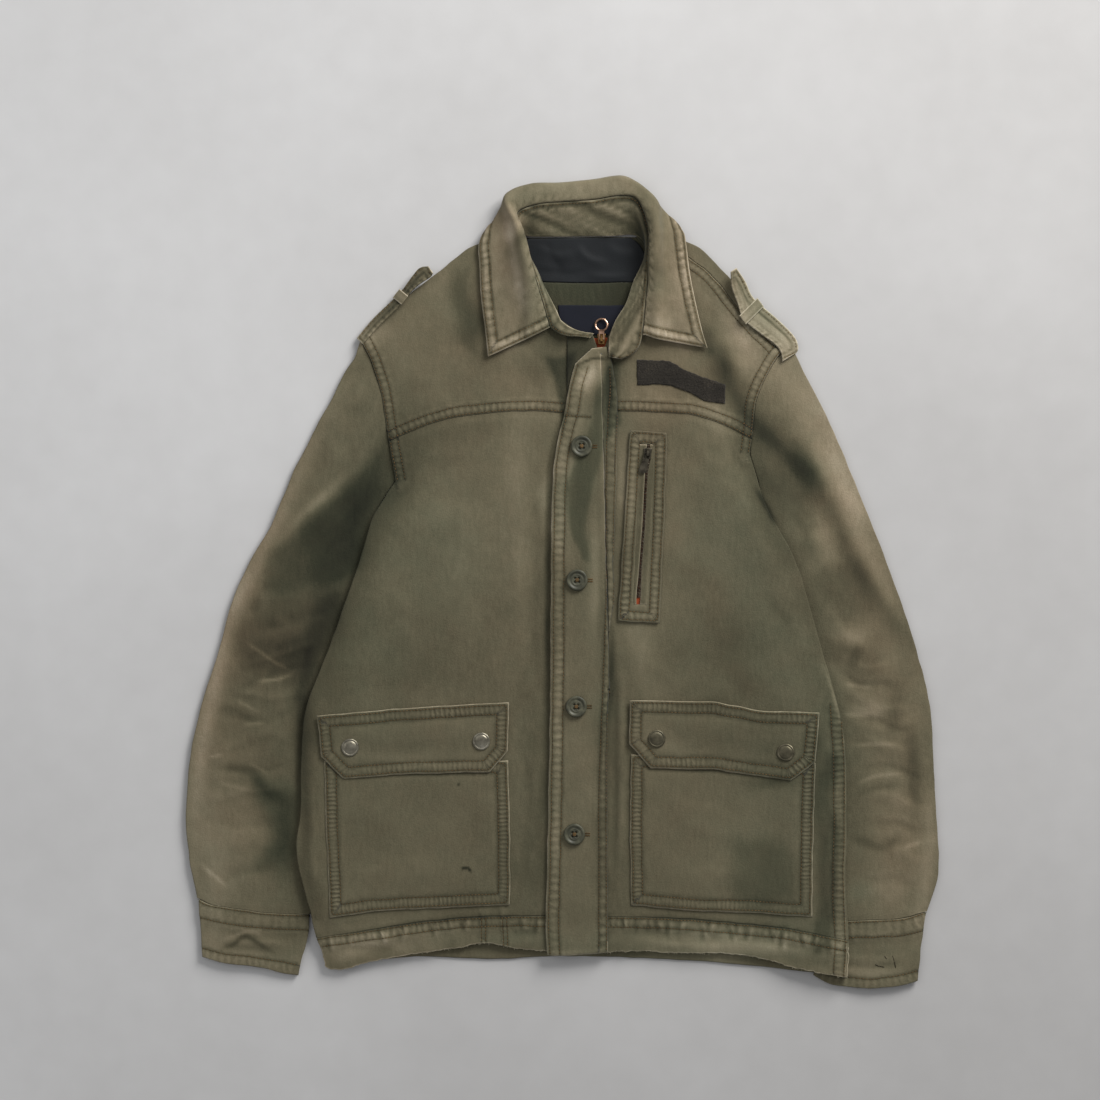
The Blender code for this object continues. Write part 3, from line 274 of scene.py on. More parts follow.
# ---- seams, stitch rows and creases, in plan mm ----------------------------------------------
ARMHOLE_RIGHT = [(-202, 245), (-192, 223.5), (-182, 192.5), (-178, 166.5), (-173, 135), (-167, 103.5)]
ARMHOLE_LEFT = [(227, 241.5), (213, 225.5), (200, 202.5), (192, 180), (190, 155), (187, 131.5)]
YOKE_RIGHT = [(-185, 139), (-173, 143.5), (-137, 159), (-99, 168.5), (-40, 173.5), (0, 172)]
YOKE_LEFT = [(45, 173.5), (63, 173.5), (89, 172.5), (130, 169.5), (165, 157.5), (183, 148), (190, 145)]
SHOULDER = [(92, 352), (125, 327.5), (139, 317.5), (155, 302.5), (170, 283), (188, 262), (212, 238)]
HEM_RIGHT = [(-252, -354), (-194, -345.5), (-147, -338.5), (-103, -333.5), (-52, -331.5), (-10, -332)]
HEM_LEFT = [(44, -332), (107, -333.5), (170, -338.5), (232, -345), (285, -356)]
CUFF_RIGHT = [(-366, -313.5), (-355, -319.5), (-328, -324.5), (-293, -328.5), (-254, -330.5)]
CUFF_LEFT = [(254, -341.5), (292, -336.5), (318, -335.5), (342, -333.5), (364, -327)]
# lapped seams: line, side of its band (1 left of the line's direction), rows from the line, rise
PLACKET_SIDE = [(45, 238), (49, 222), (55, 170), (51, 60), (48, -30), (43, -150), (44, -352)]
SEAMS = {
    "yoke_right": (YOKE_RIGHT, 1, (1.6, 9.6), 0.9), "yoke_left": (YOKE_LEFT, 1, (1.6, 9.6), 0.9),
    "arm_right": (ARMHOLE_RIGHT, 1, (1.6, 9.2), 0.9), "arm_left": (ARMHOLE_LEFT, -1, (1.6, 9.2), 0.9),
    "shoulder": (SHOULDER, -1, (1.6, 8.6), 0.7),
    "hem_right": (HEM_RIGHT, -1, (1.6, 9.8), 0.8), "hem_left": (HEM_LEFT, -1, (1.6, 10.6), 0.8),
    "hem_join_1": ([(-83, -334), (-83, -364)], 1, (1.2, 5.5), 0.5),
    "hem_join_2": ([(-62, -333), (-61, -362)], 1, (1.2, 5.5), 0.5),
    "side_left": ([(278.5, -120), (281.5, -180), (282, -231.5), (281, -304.5), (283, -355), (282, -392)],
                  -1, (1.2, 11.5), 0.6),
    "cuff_right": (CUFF_RIGHT, -1, (1.6, 15.5), 0.7), "cuff_left": (CUFF_LEFT, -1, (1.6, 17.0), 0.7),
    "cuff_end_right": ([(-361, -364), (-337, -370), (-302, -374), (-267, -381)], -1, (0.0,), 0.0),
    "cuff_end_left": ([(251, -382), (266, -390), (294, -394), (318, -394), (355, -387)], -1, (0.0,), 0.0),
}
# creases: half width, height, then the x and y of each point; they rise or sink softly and taper
BODY_CREASES = [
    (16, 0.9, -160, 235, -120, 190, -92, 150), (13, -0.8, -120, 260, -70, 225, -30, 208),
    (8, 0.8, -60, 245, -28, 220, -10, 196), (11, -0.8, -175, 130, -140, 118, -95, 122),
    (13, 0.9, -165, 96, -120, 72, -82, 70), (16, -0.9, -185, 60, -150, 30, -135, -20),
    (14, 0.8, -205, 5, -160, -30, -150, -90), (15, 0.7, -110, 60, -95, -20, -100, -95),
    (12, 0.8, -35, 120, -45, 40, -36, -40), (7, -0.7, -24, 60, -30, -30, -24, -110),
    (7, 0.8, -30, -60, -26, -160, -30, -260), (6, -0.7, -38, -150, -34, -220, -38, -310),
    (8, 0.7, 60, 205, 100, 186, 150, 178), (12, 0.9, 130, 240, 165, 226, 190, 200),
    (12, -0.8, 110, 285, 150, 262, 170, 238), (11, 0.9, 120, 160, 150, 128, 176, 118),
    (14, -0.7, 112, 120, 140, 70, 150, 10), (15, 0.8, 175, 110, 185, 60, 215, 10),
    (17, 0.7, 120, 30, 150, -30, 140, -100), (13, -0.9, 200, 0, 222, -45, 235, -105),
    (11, 0.7, 70, -50, 90, -80, 130, -105), (9, 0.8, 250, -60, 262, -120, 264, -190),
    (5, 0.9, 58, -60, 60, -170, 57, -300), (4, -0.9, 52, -40, 53, -170, 51, -330),
    (6, 0.7, 262, -210, 264, -270, 262, -330), (6, 0.8, -248, -150, -250, -230, -244, -330),
    (6, 0.9, -200, -348, -160, -352, -120, -346), (5, -0.8, -60, -345, -40, -350, -20, -346),
    (5, -0.8, -230, -360, -190, -366, -160, -362), (6, -0.8, 60, -346, 100, -350, 140, -350),
    (6, 0.9, 150, -356, 200, -362, 250, -368), (4, 0.7, 80, -358, 130, -361, 180, -364),
    (7, 0.8, -12, 215, -16, 190, -10, 178), (16, 0.5, -100, 120, -60, 110, -30, 122),
]
POUCH_CREASES = [
    (13, 0.7, -225, -210, -190, -230, -150, -232), (14, 0.8, -215, -300, -170, -280, -120, -290),
    (14, -0.6, -120, -205, -95, -240, -90, -290), (12, -0.5, -205, -250, -160, -262, -110, -255),
    (13, 0.7, 90, -205, 130, -225, 170, -222), (14, 0.8, 100, -300, 150, -285, 205, -300),
    (14, -0.6, 200, -205, 222, -245, 215, -290), (11, -0.5, 120, -250, 160, -262, 190, -255),
]
FLAP_CREASES = [
    (9, 0.6, -225, -140, -180, -150, -130, -146), (8, -0.5, -170, -172, -130, -162, -100, -168),
    (7, 0.5, -120, -135, -95, -146, -70, -140), (9, 0.6, 90, -132, 140, -140, 180, -136),
    (8, -0.5, 110, -168, 160, -160, 200, -168), (7, 0.5, 190, -145, 215, -155, 240, -150),
]
SLEEVE_CREASES = [
    # right sleeve: drag lines from the armhole, then the pinched folds of the elbow, then the cuff
    (11, 1.4, -200, 212, -222, 160, -238, 110), (9, -1.2, -190, 170, -212, 120, -238, 70),
    (8, 1.3, -183, 128, -208, 84, -250, 48), (8, -1.4, -178, 105, -215, 55, -262, 10),
    (13, 0.9, -252, 120, -275, 70, -300, 20), (7, 1.2, -215, 25, -262, -8, -318, -14),
    (6, -1.3, -222, -20, -262, -34, -325, -52), (5, 1.3, -232, -52, -270, -66, -330, -84),
    (5, -1.3, -240, -82, -278, -86, -338, -110), (5, 1.4, -246, -104, -290, -112, -345, -100),
    (5, -1.3, -262, -120, -300, -136, -352, -128), (6, 1.3, -264, -150, -302, -150, -358, -168),
    (5, -1.2, -266, -178, -310, -186, -360, -182), (6, 1.2, -270, -205, -312, -204, -366, -222),
    (6, -1, -272, -232, -316, -240, -364, -236), (8, 1, -272, -262, -310, -258, -356, -272),
    (7, -0.8, -276, -292, -314, -286, -350, -298), (8, 0.9, -300, 40, -312, -10, -336, -50),
    (8, 0.8, -330, -140, -342, -190, -350, -240), (5, 0.8, -286, -60, -300, -90, -312, -140),
    (4, 0.8, -350, -338, -320, -346, -280, -350), (3.5, -1, -346, -361, -318, -365, -284, -370),
    (3.5, 1, -346, -352, -310, -357, -270, -360),
    # left sleeve
    (11, 1.3, 212, 196, 240, 150, 262, 92), (9, -1.3, 200, 160, 226, 110, 252, 60),
    (10, 1.2, 196, 128, 228, 76, 270, 20), (12, -1.7, 222, 112, 268, 40, 310, -30),
    (13, 1, 262, 130, 296, 60, 322, -10), (9, 1.2, 236, 20, 268, -30, 306, -76),
    (6, 1.3, 262, -58, 300, -82, 340, -76), (5, -1.4, 270, -84, 300, -100, 352, -98),
    (5, 1.4, 282, -98, 312, -122, 356, -122), (5, -1.4, 284, -128, 318, -138, 360, -150),
    (6, 1.4, 290, -150, 322, -160, 366, -172), (5, -1.3, 292, -184, 326, -182, 366, -198),
    (6, 1.2, 294, -208, 330, -212, 368, -228), (6, -1.1, 296, -240, 334, -240, 370, -252),
    (8, 1, 292, -270, 330, -268, 366, -280), (7, -0.8, 290, -300, 326, -296, 360, -306),
    (8, 0.9, 330, -10, 342, -60, 352, -110), (8, 0.7, 340, -150, 350, -200, 356, -250),
    (5, 0.8, 270, -352, 300, -350, 340, -350), (4, 0.9, 262, -370, 300, -374, 345, -372),
    (3.5, -0.9, 270, -380, 300, -382, 340, -378),
]
# short tucks across the hems: x, lean, length
HEM_TUCKS = [
    (-236, 3, 20), (-214, -2, 14), (-186, 4, 18), (-160, -3, 15), (-132, 2, 20), (-118, 5, 12),
    (-98, -2, 17), (-44, 3, 16), (-26, -2, 20), (58, 2, 17), (76, -3, 20), (92, 4, 15), (104, 1, 22),
    (118, -3, 14), (137, 3, 21), (146, -2, 17), (164, 5, 22), (172, 1, 18), (186, -4, 20),
    (207, 3, 18), (219, -2, 23), (236, 4, 20), (252, -3, 17), (264, 2, 22),
]
HEM_LINE = HEM_RIGHT + HEM_LEFT


def hem_tucks(step, width, height):
    """The tucks as creases, step mm beside their own line."""
    creases = []
    for x, lean, length in HEM_TUCKS:
        y = np.interp(x, [p[0] for p in HEM_LINE], [p[1] for p in HEM_LINE]) + 1.5 * math.sin(x)
        creases.append((width, height, x + step, y, x + step + 0.7 * lean, y - length / 2,
                        x + step + lean, y - length))
    return creases


BACK_CREASES = [
    (18, -1, -150, 230, -90, 180, -20, 165), (18, -1, 150, 250, 100, 190, 30, 170),
    (22, -1.2, -120, 60, -60, -40, -70, -160), (22, -1.2, 130, 80, 80, -30, 110, -150),
    (18, -0.9, -40, 120, 10, 20, -10, -120), (16, -1, -180, -200, -60, -240, 60, -220),
    (16, -1, 200, -180, 120, -260, 30, -290), (10, -0.9, -190, -300, -80, -320, 0, -310),
]
UNDER_CREASES = [(9, -0.9, side * a, b, side * c, d, side * e, f) for side in (-1, 1)
                 for a, b, c, d, e, f in (
                     (215, 170, 250, 110, 270, 60), (240, 30, 280, 0, 320, -10),
                     (256, -40, 300, -70, 340, -66), (270, -100, 310, -120, 350, -110),
                     (280, -150, 320, -180, 360, -170), (285, -220, 320, -230, 364, -250))]


def pairs(row):
    """Points of a flat row of x, y, x, y and so on."""
    return np.reshape(row, (-1, 2))


def crease_relief(points, creases):
    """Height of the creases at points: each wavers, and is deeper at some places than at others."""
    total = np.zeros(len(points))
    for n, (width, height, *line) in enumerate(creases):
        line = curve(pairs(line), CREASE_STEP)
        length = CREASE_STEP * (len(line) - 1)
        gap, along = near(points, line, 3.2 * width)
        close = np.abs(gap) < 3.2 * width
        p, g, s = points[close], gap[close], along[close] / length
        g = g + noise(p, 17.0, n) * width * 0.35
        taper = ease(s * 3.2) * ease((1 - s) * 3.2) * (1 + 0.35 * noise(p, 26.0, n + 40))
        # a fold is steeper on one side than on the other
        lean = np.where(g > 0, 1.25, 0.8)
        total[close] += height * taper * bell(g * lean, width)
    return total


def row_relief(points, rows, depth=0.42):
    """Stitch rows sink into the cloth, most of all at each stitch."""
    total = np.zeros(len(points))
    for line in rows:
        gap, along = near(points, line, 6.0)
        total -= depth * bell(gap, 1.5) * (0.8 + 0.2 * np.cos(2 * np.pi * along / THREAD_PITCH))
    return total


def ladder(place, pitch):
    """Flat-topped gathers with narrow valleys between them."""
    return 0.75 - 1.75 * bell(np.sin(np.pi * place / pitch), 0.45)


def in_band(gap, low, high, soft=1.6):
    """1 from low to high mm off a line and 0 beyond, changing over soft mm at both."""
    return ease((gap - low) / soft + 0.5) * (1 - ease((gap - high) / soft + 0.5))


def gathers(points, gap, along, low, high, pitch=8.6, uneven=0.75, seed=0):
    """Gathers across a stitched band, from low to high mm off a line; washing leaves them uneven."""
    drift = 5.0 * noise(np.column_stack([along, along]), 31.0, seed) + 1.6 * noise(points, 11.0, seed + 1)
    return (in_band(gap, low, high + 0.5, 3.0) * ladder(along + 0.28 * gap + drift, pitch)
            * (0.62 + uneven * noise(points, 24.0, seed + 2)))


def seam_relief(points, names):
    """Lapped seams: a folded edge that stands up at the line, and puckers out along its band."""
    total = np.zeros(len(points))
    for name in names:
        line, side, rows, rise = SEAMS[name]
        gap, along = near(points, curve(line, SEAM_STEP))
        gap = gap * side
        width = rows[-1] + 2.5
        total += rise * ease((gap + 0.6) / 1.4) * (1 - ease((gap - width + 3) / 7))
        total -= 0.35 * rise * bell(gap + 2.0, 2.2)
        if rise:
            total += PUCKER * gathers(points, gap, along, 0.6, rows[-1], seed=len(name))
            total -= 0.14 * rise * ladder(along, 13.0) * bell(gap - width - 2, 4.0)
    return total


def seam_lanes(names, pitch=6.4):
    """The stitched bands of the lapped seams, as (line, side, low, high, pitch)."""
    lanes = []
    for name in names:
        line, side, rows, rise = SEAMS[name]
        if rise:
            lanes.append((curve(line, SEAM_STEP), side, 0.45 if name in ("hem_left", "hem_right") else 0.6,
                          rows[-1], pitch))
    return lanes


def lanes_at(points, lanes):
    """How far into a stitched band points lie, from 0 to 1, where along it, in gathers, and how
    far they are from its folded edge."""
    band, place, fold = np.zeros(len(points)), np.zeros(len(points)), np.full(len(points), 9.0)
    for line, side, low, high, pitch in lanes:
        gap, along = near(points, line, high + 4)
        if side and low > 0.5:
            fold = np.where(gap * side > -0.6, np.minimum(fold, 1.3 * np.abs(gap) + 0.35), fold)
        gap = gap * side if side else np.abs(gap)
        depth = in_band(gap, low, high)
        place = np.where(depth > band, along / pitch, place)
        band = np.maximum(band, depth)
    return band, place, fold


def sewn_down(points):
    """Where an outline is a seam, which wear doesn't whiten as it does a folded edge."""
    return np.any([np.abs(near(points, line, 8.0)[0]) < 5
                   for line in (HEM_RIGHT, HEM_LEFT, PLACKET_SIDE)], 0)


def row_wear(points, rows):
    """Stitch rows hold a darker tone than the cloth round them."""
    total = np.zeros(len(points))
    for line in rows:
        gap, _ = near(points, line, 4.0)
        total -= 1.7 * bell(gap, 1.1)
    return total


def seam_rows(names):
    """The stitch rows of the lapped seams, as lines."""
    lines = []
    for name in names:
        line, side, rows, _ = SEAMS[name]
        line = curve(line, ROW_STEP)
        lines += [line + side * r * sideways(line) for r in rows]
    return lines


# ---- tone of the cloth, its fades mixed with painted shade and painted highlights: soft patches (x, y, half width, half length, turn in degrees, amount) ---
FADE_AND_SHADE_PATCHES = [
    (-163, 112, 26, 52, -8, -0.5), (-222, -60, 22, 150, -8, -0.22), (-213, 52, 24, 74, -38, -0.95),
    (-262, -62, 40, 34, 20, -0.75), (-262, 10, 24, 60, -32, -0.35), (-300, 118, 26, 90, -24, 0.42),
    (-338, -30, 14, 110, -10, 0.42), (-236, 186, 26, 40, -28, 0.25), (-352, -170, 16, 90, -2, 0.22),
    (-300, -150, 30, 30, 0, -0.12), (-320, -230, 34, 60, 0, 0.18), (-282, -250, 14, 70, 4, -0.35),
    (-304, -330, 40, 10, 6, 0.1), (-330, -352, 34, 16, 0, 0.22), (250, 178, 34, 74, 24, 0.95),
    (292, 84, 24, 70, 22, 0.5), (222, 96, 16, 62, 34, -0.5), (272, 12, 22, 70, 30, -0.42),
    (286, -62, 20, 40, 24, 0.22), (342, -60, 16, 80, 12, 0.22), (340, -190, 30, 60, 0, 0.12),
    (292, -230, 14, 90, 0, -0.25), (330, -300, 36, 26, 0, 0.2), (312, -372, 40, 18, 0, 0.05),
    (-120, 300, 46, 30, 40, 0.35), (-60, 240, 30, 34, 20, -0.22), (-30, 216, 22, 26, 0, -0.45),
    (-150, 230, 30, 40, 30, 0.18), (-95, 150, 60, 10, 8, -0.18), (-90, 60, 60, 70, 0, 0.16),
    (-20, 80, 12, 120, 0, -0.3), (-120, -60, 60, 50, 0, -0.06), (-26, -220, 10, 130, 0, -0.3),
    (64, -160, 10, 160, 0, -0.2), (150, 226, 40, 20, -14, 0.55), (86, 186, 34, 16, 0, 0.38),
    (180, 200, 20, 30, 0, 0.3), (150, 40, 40, 60, 0, 0.16), (160, -60, 60, 40, 0, -0.18),
    (230, 40, 26, 70, 18, -0.38), (262, -110, 16, 90, 6, -0.3), (120, 300, 26, 26, 40, 0.45),
    (170, 262, 26, 26, 40, 0.4), (-150, -90, 70, 16, 3, -0.15), (-150, -156, 90, 30, 0, 0.04),
    (160, -156, 90, 30, 0, -0.22), (-140, -255, 70, 60, 0, 0.05), (160, -255, 70, 60, 0, 0.06),
    (14, 120, 18, 70, 0, -0.12), (14, -40, 18, 60, 0, -0.05), (14, -220, 18, 110, 0, 0.2),
    (160, -352, 90, 12, 0, 0.25), (-130, -350, 100, 12, 0, 0.1), (-33, 104, 30, 84, 0, 0.45),
    (-33, 184, 24, 26, 0, 0.35), (-205, 265, 24, 20, -30, 0.5), (-53, 310, 12, 70, -4, 0.15),
    (102, 255, 26, 12, -14, 0.5), (15, 396, 60, 8, 0, 0.3), (-10, 85, 8, 70, 0, 0.7),
    (22, 210, 10, 24, -20, 0.6), (60, 95, 10, 44, 0, 0.8), (80, -60, 22, 60, 0, 0.45),
    (137, 170, 26, 16, 0, 0.35), (267, 65, 26, 40, 30, 0.55), (302, -45, 16, 12, 0, 0.5),
    (315, -125, 24, 14, 0, 0.9), (320, -270, 40, 110, 0, 0.35), (-320, -290, 50, 80, 0, 0.25),
    (-358, -335, 14, 50, 0, 0.5), (-350, -265, 20, 50, 0, 0.4), (-130, -352, 110, 12, 0, 0.3),
    (160, -354, 110, 12, 0, 0.3), (-345, 0, 12, 60, -14, 0.4), (-95, 280, 10, 36, 4, -0.45),
    (-198, 95, 14, 24, -30, -0.35), (-233, -20, 12, 18, -30, -0.6), (-253, -110, 9, 80, -4, -0.8),
    (-302, -205, 16, 12, 0, -0.7), (-288, -255, 15, 45, 0, -0.45), (88, 340, 12, 50, 8, -0.9),
    (-50, 384, 8, 8, 0, -0.3), (47, 265, 12, 22, 0, -0.5), (-8, 246, 14, 8, 0, -0.6),
    (45, 205, 13, 30, 12, -0.9), (157, 215, 13, 36, 34, -1), (202, 150, 16, 16, 30, -0.3),
    (247, 115, 14, 12, 0, -0.5), (45, -165, 7, 200, 0, -0.35), (288, -66, 18, 8, 20, -0.5),
    (-43, -280, 20, 40, 0, -0.3), (32, 208, 12, 14, 0, 1.5), (232, 60, 10, 30, 30, 0.5),
    (-38, 355, 9, 30, -8, -0.8), (78, 350, 8, 28, 0, -0.6), (-45, 225, 16, 26, 0, 0.6),
    (147, -118, 24, 10, 0, -0.3), (217, -197, 30, 8, 0, -0.6), (330, -120, 12, 22, -10, -0.5),
    (-308, -225, 8, 25, 0, -0.4), (-250, -200, 10, 60, 0, -0.35), (300, -392, 40, 8, 0, 0.5),
    (-58, 246, 24, 8, 0, 0.6), (107, 246, 30, 6, 0, 0.35), (50, 236, 12, 8, 0, 0.7),
    (186, 248, 20, 38, 35, 0.7), (157, 165, 14, 22, 0, 0.5), (-198, 246, 28, 14, 20, 1.1),
    (-262, -10, 18, 28, 0, 0.6), (-285, -45, 26, 9, 20, 0.5), (-208, 172, 14, 12, 0, -0.3),
    (18, -372, 22, 7, 0, 0.6), (272, -365, 13, 14, 0, 0.6), (327, -130, 10, 14, 0, -0.5),
    (290, -60, 16, 14, 0, 0.55), (317, -5, 10, 30, 20, 0.55), (262, 18, 30, 14, 30, 0.5),
    (-310, -372, 50, 8, 0, 0.35), (-198, -364, 45, 9, 0, 0.9), (100, -160, 36, 14, 0, 0.45),
    (-145, -172, 80, 6, 0, 0.25), (180, -364, 74, 10, 0, 0.55), (300, -80, 34, 30, 0, 0.2),
    (300, 40, 20, 30, 20, 0.15), (-55, 355, 12, 14, 0, 0.4),
]


def patches(points, table):
    total = np.zeros(len(points))
    for x, y, wide, long, turn, amount in table:
        a = math.radians(turn)
        dx, dy = points[:, 0] - x, points[:, 1] - y
        u, v = dx * math.cos(a) + dy * math.sin(a), dy * math.cos(a) - dx * math.sin(a)
        total += amount * bell(u, wide) * bell(v, long)
    return total


# pale crests of wear with painted highlights along edges, and dark folds and gaps of painted shade, in the
# same form as the creases
WEAR_AND_SHADE_STREAKS = [*hem_tucks(0, 2.2, -0.2), *hem_tucks(4, 2.4, 0.25),
           (1.5, -0.8, *sum(HEM_RIGHT, ())), (1.5, -0.8, *sum(HEM_LEFT, ()))]
WEAR_AND_SHADE_STREAKS += [
    (1.6, 0.75, -323, -54, -284, -80, -266, -87), (1.8, 0.75, -309, -97, -286, -95, -266, -88),
    (1.8, 0.5, -329, -114, -305, -128), (2, 0.5, -321, -140, -298, -139),
    (1.8, 0.6, -357, -174, -339, -170), (1.8, 0.45, -318, -176, -291, -192),
    (2.2, 0.55, -366, -277, -332, -306), (2.6, 0.35, -350, -196, -310, -206, -285, -203),
    (6, 0.35, -291, -34, -270, -36), (5, -0.45, -300, -26, -312, -20, -300, -14),
    (4, -0.35, -352, -130, -330, -124, -300, -146), (5, -0.45, -345, -182, -316, -186, -296, -200),
    (5, 0.35, -180, 131, -238, 92, -297, 30), (13, -0.35, -176, 112, -232, 72, -290, 12),
    (9, -0.95, 130, 300, 150, 250, 165, 205, 180, 176, 203, 149, 230, 125, 252, 100, 272, 68, 290, 25,
     317, -17, 342, -60, 351, -100, 352, -130),
    (1.5, 0.7, 258, -74, 270, -110, 280, -152), (3, -1.2, 189, 102, 203, 78, 216, 52),
    (2.6, -0.9, 8, 214, 2, 190, -1, 172, -8, 148, -14, 110, -15.5, 24, -16, -70, -17.5, -190),
    (1.2, -1.1, 13, 219.3, 28, 224.7, 37, 226.2, 46, 225.7), (9, 0.35, 262, 150, 284, 104, 306, 50),
    (10, 0.35, 250, 62, 262, 40, 276, 14), (9, -0.55, 286, -69, 300, -76),
    (2.2, 0.6, 278, -99, 311, -104), (2.4, 0.5, 278, -129, 308, -132),
    (2.2, 0.6, 285, -161, 310, -160, 340, -161), (8, -0.75, 346, -128, 351, -190, 353, -245),
    (2.2, 0.55, 289, -203, 313, -192, 344, -189), (3.5, -0.35, 290, -212, 316, -203, 344, -200),
    (5, -0.55, 287, -249, 317, -263, 344, -249), (2.4, 0.6, 338, -265, 363, -255),
    (2.4, -1, -348, -366, -330, -360, -318, -352, -300, -362, -284, -372),
    (1.8, 0.5, -346, -358, -325, -350, -310, -347, -296, -356),
    (1.1, -2.2, -103, -286, -97, -283, -92, -287), (1, -1.2, -106, -202, -103, -199),
    (7, 0.55, 18, 205, 14, 160, 4, 110, 1, 60, 2, 10), (7, 0.5, -1, 0, -4, -100, -7, -220, -8, -360),
    (9, 0.7, -203, 240, -254, 130, -300, 35, -327, -22, -341, -72, -362, -160, -371, -250, -368, -320,
     -364, -368),
    (8, 0.6, 366, -180, 368, -260, 360, -320, 352, -385),
    (6, 1, -58, 390, -50, 340, -42, 290, -38, 255), (6, 0.6, 92, 385, 90, 340, 84, 300),
    (6, -0.6, 140, 262, 148, 225), (6, 0.5, -270, 58, -240, 84, -205, 106),
    (7, -0.5, 258, -140, 254, -170, 252, -200), (6, 0.45, 34, 90, 32, 20, 30, -60),
    (3, -0.8, 50, -30, 48, -100, 44, -150), (3, 0.5, 88, 372, 84, 384),
]
# warmth of the tone, in the same form: browner and pinker above 0, a cool green-grey below
HUES = [
    (-320, -20, 16, 130, -16, 1.1), (-262, 120, 20, 90, -26, 0.6), (-290, -60, 44, 40, 0, 0.8),
    (-330, -170, 30, 60, 0, 0.6), (-290, -210, 16, 20, 0, -1.3), (-278, -255, 12, 50, 0, -0.8),
    (-205, 60, 26, 70, -36, -0.4), (-130, 30, 50, 80, 0, -0.7), (-80, -60, 50, 60, 0, 0.5),
    (-160, -100, 60, 40, 0, 0.3), (-120, 130, 40, 30, 0, 0.2), (-140, -250, 80, 70, 0, 0.1),
    (-100, 230, 60, 60, 0, 0.3), (-95, 270, 40, 50, 0, 0.5), (110, 270, 40, 60, 0, 0.5),
    (120, 200, 70, 30, 0, 0.9), (100, 60, 20, 90, 0, 0.5), (170, 60, 40, 60, 0, -0.6),
    (150, -60, 60, 40, 0, -0.4), (20, 120, 14, 60, -20, -1.1), (24, 40, 14, 90, 0, -0.5),
    (22, -180, 18, 140, 0, 0.2), (258, 110, 40, 100, 24, 0.8), (290, 0, 30, 80, 26, 0.6),
    (330, -90, 30, 90, 10, 1), (255, 40, 18, 70, 30, -0.7), (300, -310, 14, 14, 0, -1.2),
    (262, -150, 18, 90, 0, -0.8), (200, -220, 50, 60, 0, -0.5), (120, -240, 50, 60, 0, 0.2),
    (160, -352, 110, 14, 0, -0.7), (-130, -350, 110, 14, 0, -0.2), (230, -90, 30, 60, 0, -0.6),
    (-55, 330, 14, 60, 0, 1), (110, 335, 22, 50, 0, 1), (-43, 205, 22, 20, 0, 0.7),
    (90, 165, 26, 26, 0, 0.9), (-108, 270, 24, 26, 0, -0.9), (-40, 395, 36, 12, 0, -0.8),
    (210, 270, 30, 40, 40, -0.9), (137, 228, 20, 10, 0, -0.6), (253, 112, 18, 18, 0, -0.9),
    (-190, -50, 36, 70, 0, -0.7), (192, -25, 30, 60, 0, -0.7), (38, -130, 14, 40, 0, -0.7),
    (-295, -205, 30, 14, 0, -0.7), (-285, -368, 24, 12, 0, -0.7), (-30, -357, 60, 8, 0, -0.8),
    (225, -350, 50, 30, 0, -0.8), (330, -250, 30, 50, 0, 0.6), (-325, -240, 20, 30, 0, 0.5),
    (10, 290, 60, 16, 0, -1), (-73, 370, 14, 22, 0, 0.8), (107, 95, 22, 50, 0, -0.8),
    (186, 248, 20, 40, 35, 1), (160, -372, 100, 10, 0, -0.6), (0, -368, 60, 8, 0, -0.5),
    (335, -260, 26, 70, 0, 0.6), (-200, -150, 50, 50, 0, -0.4),
]


# shapes of painted shade and painted light: softness of the edge, tone, warmth, then the x and y of each
# corner
SHADES = [
    (4, -0.9, -0.6, -24, 232, 6, 232, 2, 190, -7, 150, -12, 190),
    (9, -0.5, -0.3, -171, 144, -233, 88, -297, 28, -301, -1, -263, -6, -218, 10, -203, 55, -185, 105),
    (13, -0.5, 0.4, -323, -55, -278, -15, -218, -5, -233, -55, -263, -105, -313, -80),
    (10, -0.5, -0.8, -311, -201, -268, -205, -273, -245, -275, -283, -301, -281, -301, -227),
    (10, -0.55, -0.8, 227, 137, 245, 140, 260, 114, 263, 92, 243, 92, 231, 114),
    (9, -0.5, 0.5, 265, -56, 287, -53, 317, -71, 323, -84, 301, -97, 275, -81),
    (6, -0.75, -0.1, 255, -170, 268, -175, 270, -368, 249, -370, 249, -215),
    (9, -0.3, 0.3, -258, -110, -243, -110, -243, -335, -262, -335),
    (3, -0.55, -0.7, 47, 221, 59, 218, 54, 164, 44, 150, 36, 118, 29, 98, 26, 58, 20, 22, 13, 24, 10,
     58, 7, 98, 12, 120, 23, 142, 29, 158, 36, 181, 42, 201),
    (8, -0.35, -0.4, -110, 322, -90, 322, -84, 236, -106, 240),
    (14, -0.25, 0.6, 122, 20, 140, 30, 205, -110, 180, -118, 150, -60),
    (12, 0.12, 0.6, 96, 128, 140, 128, 120, 40, 98, 40),
    (10, -0.15, 0.2, -120, -285, -88, -285, -88, -345, -128, -345),
    (14, -0.45, -0.5, 180, -255, 226, -250, 226, -320, 165, -310),
]


def shades(points, column):
    """Tone (1) or warmth (2) of the shapes of painted shade and light, with soft edges."""
    total = np.zeros(len(points))
    for shade in SHADES:
        loop = rounded(pairs(shade[3:]).astype(float))
        close = np.flatnonzero(((points > loop.min(0) - 20) & (points < loop.max(0) + 20)).all(1))
        if len(close):
            depth = edge_distance(points[close], [loop]) * np.where(inside(points[close], [loop]), 1, -1)
            total[close] += shade[column] * ease(0.5 + 0.5 * depth / shade[0])
    return total


def wander(points):
    """Points moved about a little, so that a soft patch has no plain outline."""
    return points[:, :2] + 9 * np.column_stack([noise(points, 34, 5), noise(points, 34, 6)])
